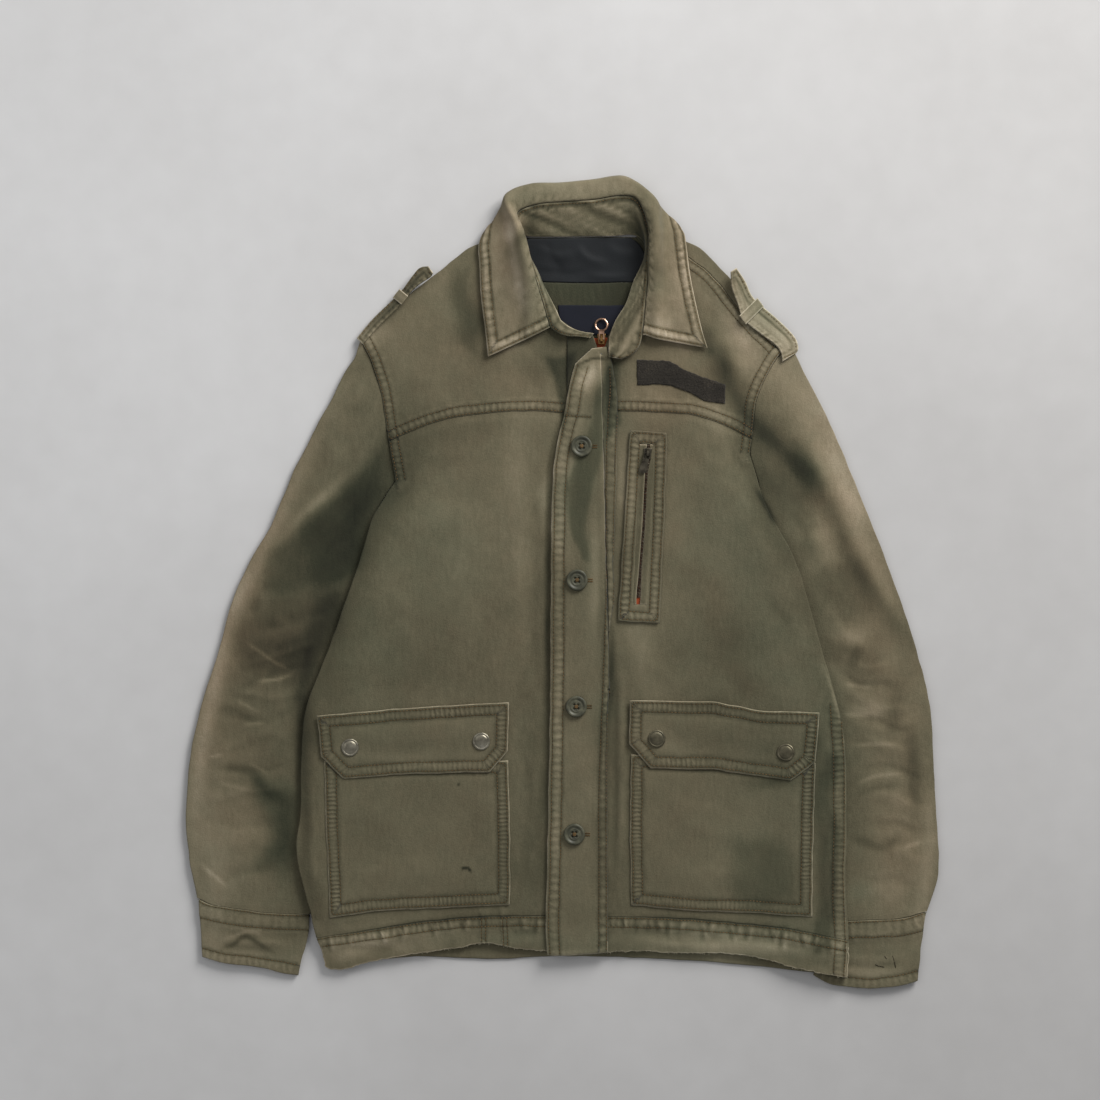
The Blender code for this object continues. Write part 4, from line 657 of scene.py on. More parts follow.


# the painted tone of the cloth: fades, wear, painted shade and painted highlights from the tables above, and
# some noise
def fade_and_shade(points):
    lines = np.zeros(len(points))
    for width, amount, *line in WEAR_AND_SHADE_STREAKS:
        line = curve(pairs(line), SEAM_STEP)
        gap, along = near(points[:, :2], line, 4 * width)
        share = along / (SEAM_STEP * (len(line) - 1))
        lines += amount * ease(share * 3) * ease((1 - share) * 3) * bell(gap, width)
    place = wander(points)
    return (patches(place, FADE_AND_SHADE_PATCHES) + shades(place, 1) + lines + 0.06 * noise(points, 60, 7)
            + 0.05 * noise(points, 19, 8))


def hue(points):
    place = wander(points)
    return np.clip(patches(place, HUES) + shades(place, 2) + 0.25 * noise(points, 70, 9), -0.9, 1.2)


# ---- materials -------------------------------------------------------------------------------
class Nodes:
    """Short hand for building a material's nodes."""

    def __init__(self, name, roughness=0.9, sheen=0.0, metallic=0.0, specular=0.3):
        self.material = bpy.data.materials.new(name)
        self.material.use_nodes = True
        self.tree = self.material.node_tree
        self.shader = self.tree.nodes["Principled BSDF"]
        for socket, value in (("Roughness", roughness), ("Sheen Weight", sheen), ("Metallic", metallic),
                              ("Sheen Roughness", 0.45), ("Specular IOR Level", specular)):
            self.shader.inputs[socket].default_value = value
        self.place = self.add("ShaderNodeTexCoord").outputs["Object"]

    def add(self, kind, **settings):
        node = self.tree.nodes.new(kind)
        for key, value in settings.items():
            setattr(node, key, value)
        return node

    def link(self, source, socket):
        self.tree.links.new(source, socket)

    def attribute(self, name):
        return self.add("ShaderNodeAttribute", attribute_name=name).outputs["Fac"]

    def noise(self, size, detail=2.0, stretch=(1, 1, 1), turn=0.0):
        """Noise whose bumps are about size mm across."""
        place = self.add("ShaderNodeMapping")
        place.inputs["Scale"].default_value = stretch
        place.inputs["Rotation"].default_value = (0, 0, math.radians(turn))
        self.link(self.place, place.inputs["Vector"])
        made = self.add("ShaderNodeTexNoise")
        made.inputs["Scale"].default_value = 1000.0 / size
        made.inputs["Detail"].default_value = detail
        self.link(place.outputs["Vector"], made.inputs["Vector"])
        return made.outputs["Fac"]

    def math(self, operation, *values):
        node = self.add("ShaderNodeMath", operation=operation)
        for socket, value in zip(node.inputs, values):
            if isinstance(value, (int, float)):
                socket.default_value = value
            else:
                self.link(value, socket)
        return node.outputs[0]

    def sum(self, start, *terms):
        """start plus each (source, factor, centre): factor times how far the source is from centre."""
        total = start
        for source, factor, centre in terms:
            total = self.math("ADD", self.math("MULTIPLY_ADD", source, factor, -centre * factor), total)
        return total

    def ramp(self, value, stops):
        node = self.add("ShaderNodeValToRGB")
        ramp = node.color_ramp
        ramp.elements[0].position, ramp.elements[1].position = stops[0][0], stops[-1][0]
        for position, _ in stops[1:-1]:
            ramp.elements.new(position)
        for element, (_, colour) in zip(ramp.elements, stops):
            element.color = (*[linear(c) for c in colour], 1)
        self.link(value, node.inputs["Fac"])
        return node.outputs["Color"]

    def colour(self, source):
        self.link(source, self.shader.inputs["Base Color"])

    def bump(self, *layers):
        """Bump layers of (height source, height in mm)."""
        before = None
        for source, height in layers:
            node = self.add("ShaderNodeBump")
            node.inputs["Strength"].default_value = 1.0
            node.inputs["Distance"].default_value = height * MM
            self.link(source, node.inputs["Height"])
            if before:
                self.link(before, node.inputs["Normal"])
            before = node.outputs["Normal"]
        self.link(before, self.shader.inputs["Normal"])

    def weave(self, pitch, turn=-58.0):
        """Fine diagonal ribs of a twill."""
        place = self.add("ShaderNodeMapping")
        place.inputs["Rotation"].default_value = (0, 0, math.radians(turn))
        self.link(self.place, place.inputs["Vector"])
        made = self.add("ShaderNodeTexWave")
        made.inputs["Scale"].default_value = 314.0 / pitch
        made.inputs["Distortion"].default_value = 1.2
        made.inputs["Detail"].default_value = 1.0
        made.inputs["Detail Scale"].default_value = 1.5
        self.link(place.outputs["Vector"], made.inputs["Vector"])
        return made.outputs["Fac"]


def linear(value):
    """An 8-bit display value as a linear one."""
    value /= 255.0
    return value / 12.92 if value <= 0.04045 else ((value + 0.055) / 1.055) ** 2.4


COOL = [(0.0, (27, 29, 20)), (0.22, (48, 51, 37)), (0.42, (75, 76, 58)), (0.55, (96, 95, 75)),
        (0.70, (119, 116, 94)), (0.85, (147, 143, 120)), (1.0, (178, 173, 149))]
WARM = [(0.0, (33, 30, 22)), (0.22, (56, 51, 38)), (0.42, (86, 76, 58)), (0.55, (107, 95, 74)),
        (0.70, (131, 116, 94)), (0.85, (160, 143, 121)), (1.0, (190, 173, 151))]


def twill_material(name, shift=0.0):
    """Washed cotton twill: tone follows the fades with their painted shade and highlights, lighter where it
    is rubbed, darker in hollows as painted shade.
    Stitched bands gather in ridges across them."""
    made = Nodes(name, roughness=0.93, sheen=0.12, specular=0.18)
    fine, slub = made.noise(1.6, 3.0), made.noise(3.0, 2.0, (1, 0.22, 1), 4.0)
    cloud, broken = made.noise(46.0, 3.0), made.noise(7.0, 3.0)
    # crests lighter from wear, hollows darker as painted shade
    rub_and_shade = made.math("MULTIPLY", made.attribute("wear_and_hollow_shade"), made.math("ADD", broken, 0.45))
    turn = made.math("MULTIPLY_ADD", made.attribute("lane"), 2 * math.pi,
                     made.math("MULTIPLY", broken, 4.5))
    depth = made.math("MULTIPLY", made.attribute("band"), made.math("MULTIPLY_ADD", cloud, 3.0, -0.8))
    gather = made.math("MULTIPLY", made.math("SINE", turn), depth)
    rim = made.math("SUBTRACT", 1.0, made.math("MULTIPLY", made.attribute("edge"), 0.75))
    rim = made.math("MULTIPLY", made.math("MAXIMUM", rim, 0.0),
                    made.math("MULTIPLY_ADD", broken, 1.6, 0.1))
    value = made.sum(0.50 + shift, (made.attribute("fade_and_shade"), 0.24, 0.0), (rub_and_shade, 0.13, 0.0),
                     (rim, 0.44, 0.0), (fine, 0.13, 0.5), (slub, 0.10, 0.5), (cloud, 0.08, 0.5),
                     (gather, 0.034, 0.0))
    warm = made.sum(0.5, (made.attribute("hue"), 0.30, 0.0), (made.noise(18.0, 3.0), 0.4, 0.5))
    mix = made.add("ShaderNodeMix", data_type='RGBA')
    made.link(warm, mix.inputs[0])
    made.link(made.ramp(value, COOL), mix.inputs[6])
    made.link(made.ramp(value, WARM), mix.inputs[7])
    made.colour(mix.outputs[2])
    made.bump((made.weave(1.0), 0.10), (fine, 0.28), (made.noise(12.0, 2.0), 0.5), (gather, 0.28))
    return made.material


def plain_cloth(name, stops, grain, height, roughness=0.85, sheen=0.1):
    """A cloth of one colour: its tone wavers a little, and its grain is grain mm across."""
    made = Nodes(name, roughness=roughness, sheen=sheen, specular=0.25)
    coarse, fine = made.noise(22.0, 3.0), made.noise(grain, 3.0)
    # the attribute makes crests lighter from wear and hollows darker as painted shade
    value = made.sum(0.5, (coarse, 0.5, 0.5), (fine, 0.6, 0.5), (made.attribute("wear_and_hollow_shade"), 0.12, 0.0))
    made.colour(made.ramp(value, stops))
    made.bump((fine, height))
    return made.material


materials = {
    "twill": twill_material("washed_twill", shift=-0.01),
    # a darker copy of the twill: the less faded inside, and painted shade on the button stand under the
    # placket's edge
    "twill_dark": twill_material("washed_twill_inside_and_shade", shift=-0.25),
    "lining": plain_cloth("blue_black_lining", [(0.2, (9, 11, 13)), (0.8, (24, 27, 29))],
                          1.2, 0.12, 0.6, 0.02),
    "label": plain_cloth("woven_label", [(0.2, (6, 8, 19)), (0.8, (15, 18, 31))], 0.8, 0.10, 0.7, 0.02),
    "loop_tape": plain_cloth("loop_pile", [(0.2, (26, 23, 19)), (0.55, (44, 40, 34)),
                                           (0.85, (74, 66, 55))], 1.7, 0.9, 1.0),
    "zip_tape": plain_cloth("zip_tape", [(0.2, (120, 48, 22)), (0.8, (160, 76, 38))], 1.1, 0.15),
}


# ---- shells ----------------------------------------------------------------------------------
trees = {}                                    # upper side of each piece, to set things on
cloth = {}                                    # each node's cloth piece, with its cut in metres


def add_piece(name, points, faces, look, node=None, attributes=None):
    """A smooth mesh that rides on the jacket, in place of a CAD node where one is named."""
    mesh = bpy.data.meshes.new(name)
    mesh.from_pydata(to_scene(points).tolist(), [], faces if isinstance(faces, list) else faces.tolist())
    for key, values in (attributes or {}).items():
        mesh.attributes.new(key, 'FLOAT', 'POINT').data.foreach_set("value", np.asarray(values, float))
    mesh.materials.append(materials[look])
    mesh.shade_smooth()
    piece = bpy.data.objects.new(name, mesh)
    bpy.context.scene.collection.objects.link(piece)
    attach(piece, "jacket")
    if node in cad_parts:
        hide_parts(node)
    return piece


def add_cloth(node, points, faces, slot, attributes, upper, triangles, size, area):
    """The cloth piece of a node, with its upper side and the size of its cut."""
    piece = add_piece(node + "_cloth", points, faces, slot, node, attributes)
    trees[node] = BVHTree.FromPolygons(upper.tolist(), triangles.tolist())
    cloth[node] = piece, size[0] * MM, size[1] * MM, area * MM * MM


def edge_distance(points, loops):
    """Distance of points to the nearest outline, and 0 on it."""
    return spot_distance(points, np.vstack([part for loop in loops
                                            for part in (loop, even(closed(loop), 0.6))]))


def spot_distance(points, spots):
    tree = KDTree(len(spots))
    for i, (x, y) in enumerate(spots.tolist()):
        tree.insert((x, y, 0.0), i)
    tree.balance()
    return np.array([tree.find((x, y, 0.0))[2] for x, y in points.tolist()])


def sides_of(triangles):
    return np.vstack([triangles[:, (0, 1)], triangles[:, (1, 2)], triangles[:, (2, 0)]])


def smoothed(values, triangles, count, rounds):
    """Values averaged with their neighbours on a mesh, some rounds over."""
    ends = sides_of(triangles)
    a, b = np.concatenate([ends[:, 0], ends[:, 1]]), np.concatenate([ends[:, 1], ends[:, 0]])
    degree = np.bincount(a, minlength=count).clip(1)
    for _ in range(rounds):
        values = 0.4 * values + 0.6 * np.bincount(a, weights=values[b], minlength=count) / degree
    return values


def well_inside(points, loops, depth):
    """The points that lie inside the outlines by more than depth mm."""
    points = points[inside(points, loops)]
    return points[edge_distance(points, loops) > depth] if len(points) else points


def waver(points):
    """The small sideways wander of cut and folded edges, the same for neighbouring pieces."""
    return points + 0.45 * np.column_stack([noise(points, 12, 1), noise(points, 12, 2)])


def thickness(wall, depth):
    """A wall's thickness at some depth inside its rounded rim."""
    return wall * np.sqrt(np.clip(1 - (1 - np.clip(depth / (0.75 * wall + 0.2), 0, 1)) ** 2, 0, 1))


def shell(node, field, wall, relief, slot="twill", step=FINE, bead=0.0, fray=0.0, below=None, tone=0.0,
          rows=(), lanes=(), lip=0.0):
    """A closed shell over a node's form, fine enough for creases and seams, with a rounded rim.
    Its points also follow the stitch rows; lanes are its stitched bands, and lip is how much of
    the wall its rim keeps where it butts on a neighbour."""
    loops = outlines(node)
    rings = []
    for loop in loops:
        inwards = inward(loop)
        if fray:
            seams = [np.abs(near(loop, curve(line, SEAM_STEP), 9.0)[0]) for line in (HEM_RIGHT, HEM_LEFT)]
            loose = fray * (np.minimum(*seams) > 5)
            loop += inwards * (loose * (noise(loop, 5.0, 11) + 0.7 * noise(loop, 2.2, 12)))[:, None]
        rings += [loop + depth * inwards for depth in (0.55, 1.4)]
    low, high = loops[0].min(0), loops[0].max(0)
    lattice = []
    for k, y in enumerate(np.arange(low[1], high[1], step * 0.866)):
        x = np.arange(low[0] + (k % 2) * step / 2, high[0], step)
        lattice.append(np.column_stack([x, np.full(len(x), y)]))
    lattice = np.vstack(lattice)
    lattice = well_inside(lattice, loops, 2.2)
    rings = well_inside(np.vstack(rings), loops, 0.5)
    rows = [even(row, EDGE) for row in rows]
    guides = [row + side * sideways(row) for row in rows for side in (-1.05, 0.0, 1.05)]
    if guides:
        guides = well_inside(np.vstack(guides), loops, 1.9)
    if len(guides):
        lattice = lattice[spot_distance(lattice, guides) > 1.5] if len(lattice) else lattice
        rings = np.vstack([rings, guides])
    start, edges = 0, []
    for loop in loops:
        edges += [(start + i, start + (i + 1) % len(loop)) for i in range(len(loop))]
        start += len(loop)
    plan = np.vstack(loops + [rings, lattice])
    flat, _, faces, _, _, _ = delaunay_2d_cdt([Vector(p) for p in plan], edges, [], 0, 1e-4, False)
    plan = np.array([tuple(p) for p in flat])
    triangles = np.array(faces)
    triangles = triangles[inside(plan[triangles].mean(1), loops)]
    depth = edge_distance(plan, loops)
    count, rim = len(plan), depth < 0.02
    thick = wall * lip + (1 - lip) * thickness(wall, depth)
    middle = field(plan) + relief(plan) + bead * bell(depth - 2.6, 1.9) - wall / 2
    if below is not None:
        middle = np.maximum(middle, below + thick / 2)
    place = waver(plan)
    upper = np.column_stack([place, middle + thick / 2])
    lower = np.column_stack([place, middle - thick / 2])
    own = np.full(count, True) if lip else ~rim
    under = np.where(own, count + np.cumsum(own) - 1, np.arange(count))
    solid_faces = np.vstack([triangles, under[triangles][:, ::-1]])
    if lip:
        sides = sides_of(triangles).tolist()
        known = set(map(tuple, sides))
        p, q = np.array([(p, q) for p, q in sides if (q, p) not in known]).T
        solid_faces = np.vstack([solid_faces, np.column_stack([q, p, under[p]]),
                                 np.column_stack([q, under[p], under[q]])])
    level = upper[:, 2]
    # lighter on crests from wear, darker in hollows and at stitch rows; the darkening of the hollows is
    # painted shade
    wear_and_hollow_shade = np.clip((level - smoothed(level, triangles, count, 7)) / 0.8, -1.0, 1.2) + row_wear(plan, rows)
    band, place, fold = lanes_at(plan, lanes)
    if bead or fray:
        fold = np.minimum(fold, np.where(sewn_down(plan), 9.0, depth))
    looks = {"fade_and_shade": fade_and_shade(plan) + tone, "hue": hue(plan), "wear_and_hollow_shade": wear_and_hollow_shade, "band": band, "lane": place,
             "edge": fold}
    attributes = {key: np.concatenate([value, value[own] * (key != "band")])
                  for key, value in looks.items()}
    axes = np.linalg.svd(loops[0] - loops[0].mean(0), full_matrices=False)[2]
    add_cloth(node, np.vstack([upper, lower[own]]), solid_faces, slot, attributes, upper, triangles,
              np.ptp(loops[0] @ axes.T, axis=0), sum(area_of(loop) for loop in loops))


NARROWEST = 0.011                             # a folded lip with its turning, in metres


def lay(piece, width, length, area, rests_on):
    """Widen a piece's cut size to at least the narrowest lip; the result is not kept."""
    width, length = max(width, NARROWEST), max(length, NARROWEST)


# ---- panels ----------------------------------------------------------------------------------
BODY_WALL, SLEEVE_WALL, PATCH_WALL, TAPE_WALL, LABEL_WALL = 2.2, 1.8, 1.5, 0.9, 0.5
COLLAR_WALL, STRAP_WALL, KEEPER_WALL, LIP_WALL = 2.4, 2.0, 1.2, 1.1
POCKET_ROWS, WELT_ROWS = (2.6, 11.5), (2.4, 10.5)         # stitch rows, in mm inside the edge
HEM_LEVEL = -334                              # below this the washed hem ripples
FACING_SEAM = 292                             # the neck facing gathers along this level
COIL_LEVEL = 9.35                             # height of the chest zip's coil
BODY_SEAMS = ("yoke_right", "yoke_left", "arm_right", "arm_left", "shoulder", "hem_right", "hem_left",
              "hem_join_1", "hem_join_2", "side_left")
CUFF_SEAMS = ("cuff_right", "cuff_left", "cuff_end_right", "cuff_end_left")
body_rows, cuff_rows = seam_rows(BODY_SEAMS), seam_rows(CUFF_SEAMS)
cuff_ends = [(curve(SEAMS[n][0], SEAM_STEP), -1, 0.4, 9.0, 7.0) for n in ("cuff_end_right", "cuff_end_left")]
stitched = []                                 # (piece, line) of every stitch row


def ground_relief(points):
    """Creases of the body, which what is sewn on it follows."""
    return crease_relief(points, BODY_CREASES) + 0.22 * noise(points, 27, 21)


def body_relief(points):
    return (ground_relief(points) + seam_relief(points, BODY_SEAMS) + row_relief(points, body_rows)
            + 0.10 * noise(points, 9, 22)
            + 0.5 * ease((HEM_LEVEL - points[:, 1]) / 8) * noise(points, 11, 25)
            + crease_relief(points, hem_tucks(0, 2.6, -0.7))
            + crease_relief(points, hem_tucks(4, 2.8, 0.5)))


def sleeve_relief(points):
    return (0.62 * crease_relief(points, SLEEVE_CREASES) + seam_relief(points, CUFF_SEAMS)
            + row_relief(points, cuff_rows) + 0.4 * noise(points, 22, 23) + 0.14 * noise(points, 8, 24))


def inset(loop, depth):
    """A closed outline moved inwards by depth mm."""
    moved = loop + depth * inward(loop)
    return closed(moved[edge_distance(moved, [loop]) > depth - 0.12])


def sewn(node, depths, amount, pitch, creases=(), bead=0.45):
    """A patch, topstitched at some depths inside its outline, over what it lies on."""
    loop = outlines(node)[0]
    rows = [inset(loop, depth) for depth in depths]
    hem = closed(loop)

    def relief(points):
        gap, along = near(points, hem)
        gap = np.abs(gap)
        total = ground_relief(points) + crease_relief(points, creases) + row_relief(points, rows)
        total += 0.42 * amount * gathers(points, gap, along, depths[0], depths[-1], seed=len(node))
        return total - 0.3 * bell(gap - depths[-1] - 2.5, 2.2)
    stitched.extend((node, row) for row in rows)
    shell(node, Field(node), PATCH_WALL, relief, rows=rows, bead=bead,
          lanes=[(hem, 0, 1.5, depths[-1], pitch)])


fronts = ("front_right", "front_left", "yoke_right", "yoke_left", "shoulder_left", "hem_band_right",
          "hem_band_left")
ground = Field(*fronts)
for node in fronts:
    shell(node, ground, BODY_WALL, body_relief, fray=0.7 * ("hem" in node), rows=body_rows,
          lanes=seam_lanes(BODY_SEAMS), lip=0.75)
    stitched.extend((node, row) for row in body_rows)
for hand in ("right", "left"):
    tops, unders = [["%s_%s_%s" % (part, hand, side) for part in ("sleeve", "cuff")]
                    for side in ("top", "under")]
    field = Field(*tops, blur=6.0)
    for node in tops:
        shell(node, field, SLEEVE_WALL, sleeve_relief, rows=cuff_rows,
              lanes=seam_lanes(CUFF_SEAMS, 9.0) + cuff_ends, lip=0.75)
        stitched.extend((node, row) for row in cuff_rows)
    field = Field(*unders, blur=3.0, pitch=6.0)
    for node in unders:
        shell(node, field, SLEEVE_WALL, lambda p: np.abs(crease_relief(p, UNDER_CREASES)), step=COARSE,
              below=0.0)
    sewn("pocket_" + hand, POCKET_ROWS, 0.17, 4.4, POUCH_CREASES)
    sewn("pocket_flap_" + hand, POCKET_ROWS, 0.26, 5.0, FLAP_CREASES)
back = Field("back_panel", "back_hem_band", blur=5.0, pitch=6.0)
for node in ("back_panel", "back_hem_band"):
    shell(node, back, BODY_WALL, lambda p: np.abs(crease_relief(p, BACK_CREASES)), step=COARSE, below=0.0)

# the closure, the chest pocket and the inside of the neck
PLACKET_NECK = [(8, 217), (14, 220.6), (28, 226), (37, 227.5), (50, 227)]
PLACKET_FREE = [(12, 220.5), (5.5, 196), (2.5, 177), (-4, 151), (-10, 110), (-12, 24.5), (-12.5, -70),
                (-14, -190), (-17, -330), (-16, -370)]
PLACKET_SEWN = [(47, 228), (47, 190), (44, 150), (43.4, 90), (43, 2), (41, -70), (38, -150), (35.9, -228),
                (35.9, -366)]
PLACKET_JOIN = [(54, 170), (50.4, 60), (50.5, -10), (46.5, -100), (43.5, -160), (43.4, -366)]
free_edge = curve(PLACKET_FREE, ROW_STEP)
placket_rows = [free_edge + r * sideways(free_edge) for r in (3.0, 13.0)]
placket_rows += [curve(PLACKET_SEWN, ROW_STEP)[3:-1], curve(PLACKET_JOIN, ROW_STEP),
                 np.array([(2.0, 168.8), (27.0, 167.0)])]


def placket_relief(points):
    gap, along = near(points, curve(PLACKET_FREE, SEAM_STEP))
    total = ground_relief(points) * 0.6 + row_relief(points, placket_rows)
    total += 0.7 * ease(near(points, curve(PLACKET_NECK, ROW_STEP))[0] + 0.5) * ease((points[:, 1] - 214) / 4)
    total += PUCKER * gathers(points, gap, along, 1.0, 13.0, seed=3)
    gap, along = near(points, curve(PLACKET_SEWN, SEAM_STEP))
    total += PUCKER * gathers(points, gap, along, 0.0, 8.0, seed=4)
    return total - 0.3 * bell(gap + 5, 4.5)


def pile(points):
    """Nap of the hook-and-loop tape."""
    return 0.20 * noise(points, 3.2, 31) + 0.25 * noise(points, 9, 32)


def silk(points):
    """Soft wrinkles of the lining."""
    return 1.6 * crease_relief(points, LINING_CREASES) + 0.25 * noise(points, 26, 33)


LINING_CREASES = [
    (5, 0.6, -30, 338, -4, 330, 18, 334), (5, 0.6, 10, 344, 26, 326, 48, 320),
    (4, -0.4, -34, 316, 0, 310, 30, 314), (5, 0.5, 40, 342, 60, 330, 80, 332),
    (4, 0.4, 20, 312, 50, 308, 76, 312), (5, -0.4, -20, 344, -8, 322, 2, 306),
]
for node, slot, wall, relief in (
        # painted shade: the button stand takes the darker twill where the placket shades it
        ("button_stand", "twill_dark", PATCH_WALL, ground_relief),
        ("main_zip_tape", "zip_tape", TAPE_WALL, ground_relief),
        ("chest_zip_tape", "zip_tape", TAPE_WALL, ground_relief),
        ("name_tape", "loop_tape", TAPE_WALL, lambda p: ground_relief(p) + pile(p)),
        ("back_lining", "lining", TAPE_WALL, silk),
        ("neck_facing", "twill_dark", TAPE_WALL,
         lambda p: 0.16 * ladder(p[:, 0] + 3 * noise(p, 15, 34), 7.0) * bell(p[:, 1] - FACING_SEAM, 8)),
        ("neck_label", "label", LABEL_WALL, lambda p: 0.25 * noise(p, 20, 35))):
    shell(node, Field(node, blur=5.0, pitch=2.5), wall, relief, slot=slot,
          fray=0.4 * (node == "name_tape"))
shell("placket", Field("placket", blur=7.0, pitch=2.5), PATCH_WALL + 0.3, placket_relief, bead=0.45,
      rows=placket_rows, lanes=[(curve(PLACKET_FREE, SEAM_STEP), 1, 3.0, 13.0, 8.0),
                                (curve(PLACKET_SEWN, SEAM_STEP), 1, 0.0, 8.0, 9.6)])
stitched.extend(("placket", row) for row in placket_rows)
sewn("chest_zip_welt", WELT_ROWS, 0.14, 6.5, bead=0.0)


LIP_FOLD = [(85.5, 140), (84.6, 128), (82.6, 100), (80.6, 60), (77.2, 16), (75.2, -14), (75.0, -20)]
LIP_SIDES = {"left": [(91.5, 140), (89.6, 60), (85.0, -20)],
             "right": [(75.5, 140), (72.5, 60), (68.5, -20)]}


def make_lips():
    """Two folded edges of twill that nearly meet over the chest zip."""
    field = Field("chest_zip_welt", blur=9.0, pitch=2.5)
    fold = even(curve(LIP_FOLD), 3.0)
    share = np.linspace(0, 1, len(fold))
    # the fold stands away from the middle round the slider and at the lower end
    open_by = 1.3 + 1.7 * bell(share - 0.08, 0.05) + 0.9 * bell(share - 0.93, 0.07)
    for hand, side in LIP_SIDES.items():
        outer = even(curve(side), 1.0)
        outer = outer[np.linspace(0, len(outer) - 1, len(fold)).astype(int)]
        turn = 1 if hand == "left" else -1
        inner = fold + np.column_stack([turn * open_by, np.zeros(len(fold))])
        t = np.linspace(0, 1, 9)
        place = outer[:, None] * (1 - t[:, None]) + inner[:, None] * t[:, None]
        level = field(place.reshape(-1, 2)).reshape(len(fold), 9)
        level = level.mean(1)[:, None] + np.interp(t, (0, 0.2, 0.8, 0.93, 1),
                                                   (-1.6, -0.7, -0.1, -0.3, -1.1))
        strip = Strip(np.dstack([place, level]), 1.1)
        relief = groove(strip.across - 2.6, 0.35) + groove(strip.across - 4.6, 0.25)
        relief += 0.10 * noise(strip.grid.reshape(-1, 3), 9, 81).reshape(relief.shape)
        strip.shape("chest_zip_lip_" + hand, LIP_WALL, relief, tone=-0.1)


# ---- collar and straps: lofts through the rows of part.py ------------------------------------
COLLAR_ROWS = [                              # neck seam, stand-to-fall seam, roll, free edge
    ((-2, 264, 10.8), (-13, 257, 12.6), (-32, 247, 15.0), (-75, 227.5, 11.0)),
    ((-11, 284, 10.4), (-20, 281.5, 16.0), (-33, 279, 19.5), (-78, 256, 11.0)),
    ((-21, 304, 10.2), (-28, 306, 21.0), (-37, 306, 24.5), (-82, 288, 11.0)),
    ((-32, 326, 9.0), (-34, 328, 23.0), (-41, 330, 28.0), (-83.5, 318, 11.0)),
    ((-39, 346, 7.0), (-40, 352, 20.0), (-47, 358, 25.0), (-84, 342, 9.0)),
    ((-40, 348.5, 4.6), (-46, 370, 13.5), (-57, 387, 14.5), (-72, 356, 3.6)),
    ((-25, 348.2, 4.0), (-28, 379, 12.5), (-34, 399.5, 10.5), (-38, 353, 1.7)),
    ((0, 348.2, 3.8), (-1, 382, 12.5), (-4, 400.5, 10.5), (-6, 353, 1.6)),
    ((30, 348.5, 3.8), (30, 384, 12.5), (30, 404, 10.5), (30, 353, 1.6)),
    ((54, 349, 4.0), (57, 388, 13.0), (62, 406.5, 11.5), (66, 354, 1.7)),
    ((67, 350, 4.8), (74, 384, 16.0), (90, 386, 16.5), (108, 362, 4.5)),
    ((77, 347, 6.6), (84, 360, 21.0), (93, 362, 25.0), (120, 353, 8.0)),
    ((82, 338, 8.2), (86, 344, 22.0), (94, 344, 25.5), (123, 341, 10.6)),
    ((80, 322, 9.6), (85, 323, 20.5), (94, 322, 23.5), (126, 316, 11.0)),
    ((70, 302, 10.4), (84, 300, 17.5), (94, 299, 20.0), (130, 294, 11.0)),
    ((63, 281, 11.2), (82, 281, 15.5), (94, 280, 18.0), (134.5, 273, 11.0)),
    ((52, 263, 12.4), (80.5, 264, 14.0), (94, 262, 16.5), (139.5, 252, 11.0)),
    ((46, 247, 13.0), (79, 249, 13.6), (94, 245, 15.5), (144.5, 236, 11.2)),
]
FALL_ROWS, STRAP_ROWS = (2.6, 11.0), (2.6, 7.2)          # stitch rows, in mm inside the edge
STAND_TAB_RIGHT = [((31, 251, 11.6), (27, 246, 12.4)), ((21, 252.5, 11.2), (15, 247.5, 12.4)),
                   ((12, 255, 10.8), (4, 248, 12.6)), ((4, 259, 10.8), (-6, 251.5, 12.6))]
STAND_TAB_LEFT = [((45.5, 238, 13.2), (77, 240, 13.4)), ((45.5, 232, 13.2), (71, 231, 13.4)),
                  ((45.5, 227, 13.2), (59, 225, 13.4))]
EPAULETTE = {
    "left": [((219, 222.5, 8.8), (233, 231.5, 5.6)), ((217.5, 232, 9.0), (235.5, 236.5, 6.0)),
             ((211, 240.5, 9.4), (231.5, 248, 6.6)), ((197, 250.5, 9.8), (215, 265, 7.0)),
             ((180, 265, 11.0), (196, 281, 8.4)), ((174, 281, 12.2), (188, 290, 9.4)),
             ((168, 297, 14.0), (182, 303, 11.2)), ((167, 312, 16.0), (173, 316, 14.0))],
    "right": [((-200, 240, 8.6), (-206.5, 246.5, 3.4)), ((-184, 258, 9.2), (-191, 265, 3.6)),
              ((-166, 275.5, 9.8), (-173, 282.5, 3.8)), ((-158, 284, 10.6), (-165, 290, 4.4)),
              ((-151, 293, 11.6), (-158, 298, 5.4)), ((-142, 300.5, 12.8), (-151, 308, 6.6)),
              ((-132.5, 306.5, 13.4), (-143.5, 316.5, 7.6)), ((-129.5, 311, 13.6), (-134.5, 318, 8.4))],
}
KEEPER_ROW = {"left": 4, "right": 3}          # the epaulette's row that its keeper lies over
KEEPER_LIFT = 2.2                             # half the strap's wall, a gap and half its own wall


def regrid(grid, step):
    """The same surface with its points step apart, and closer together at its four edges."""
    for axis in (0, 1):
        spans = np.linalg.norm(np.diff(grid, axis=axis), axis=2).mean(1 - axis)
        run = np.concatenate([[0], np.cumsum(spans)])
        inner = np.arange(2.4, run[-1] - 2.4, step)
        marks = np.concatenate([[0, 0.5, 1.3], inner, run[-1] - np.array((1.3, 0.5, 0))])
        place = np.interp(marks, run, np.arange(len(run)))
        i = np.clip(place.astype(int), 0, len(run) - 2)
        f = (place - i).reshape((-1, 1, 1) if axis == 0 else (1, -1, 1))
        grid = np.take(grid, i, axis) * (1 - f) + np.take(grid, i + 1, axis) * f
    return grid


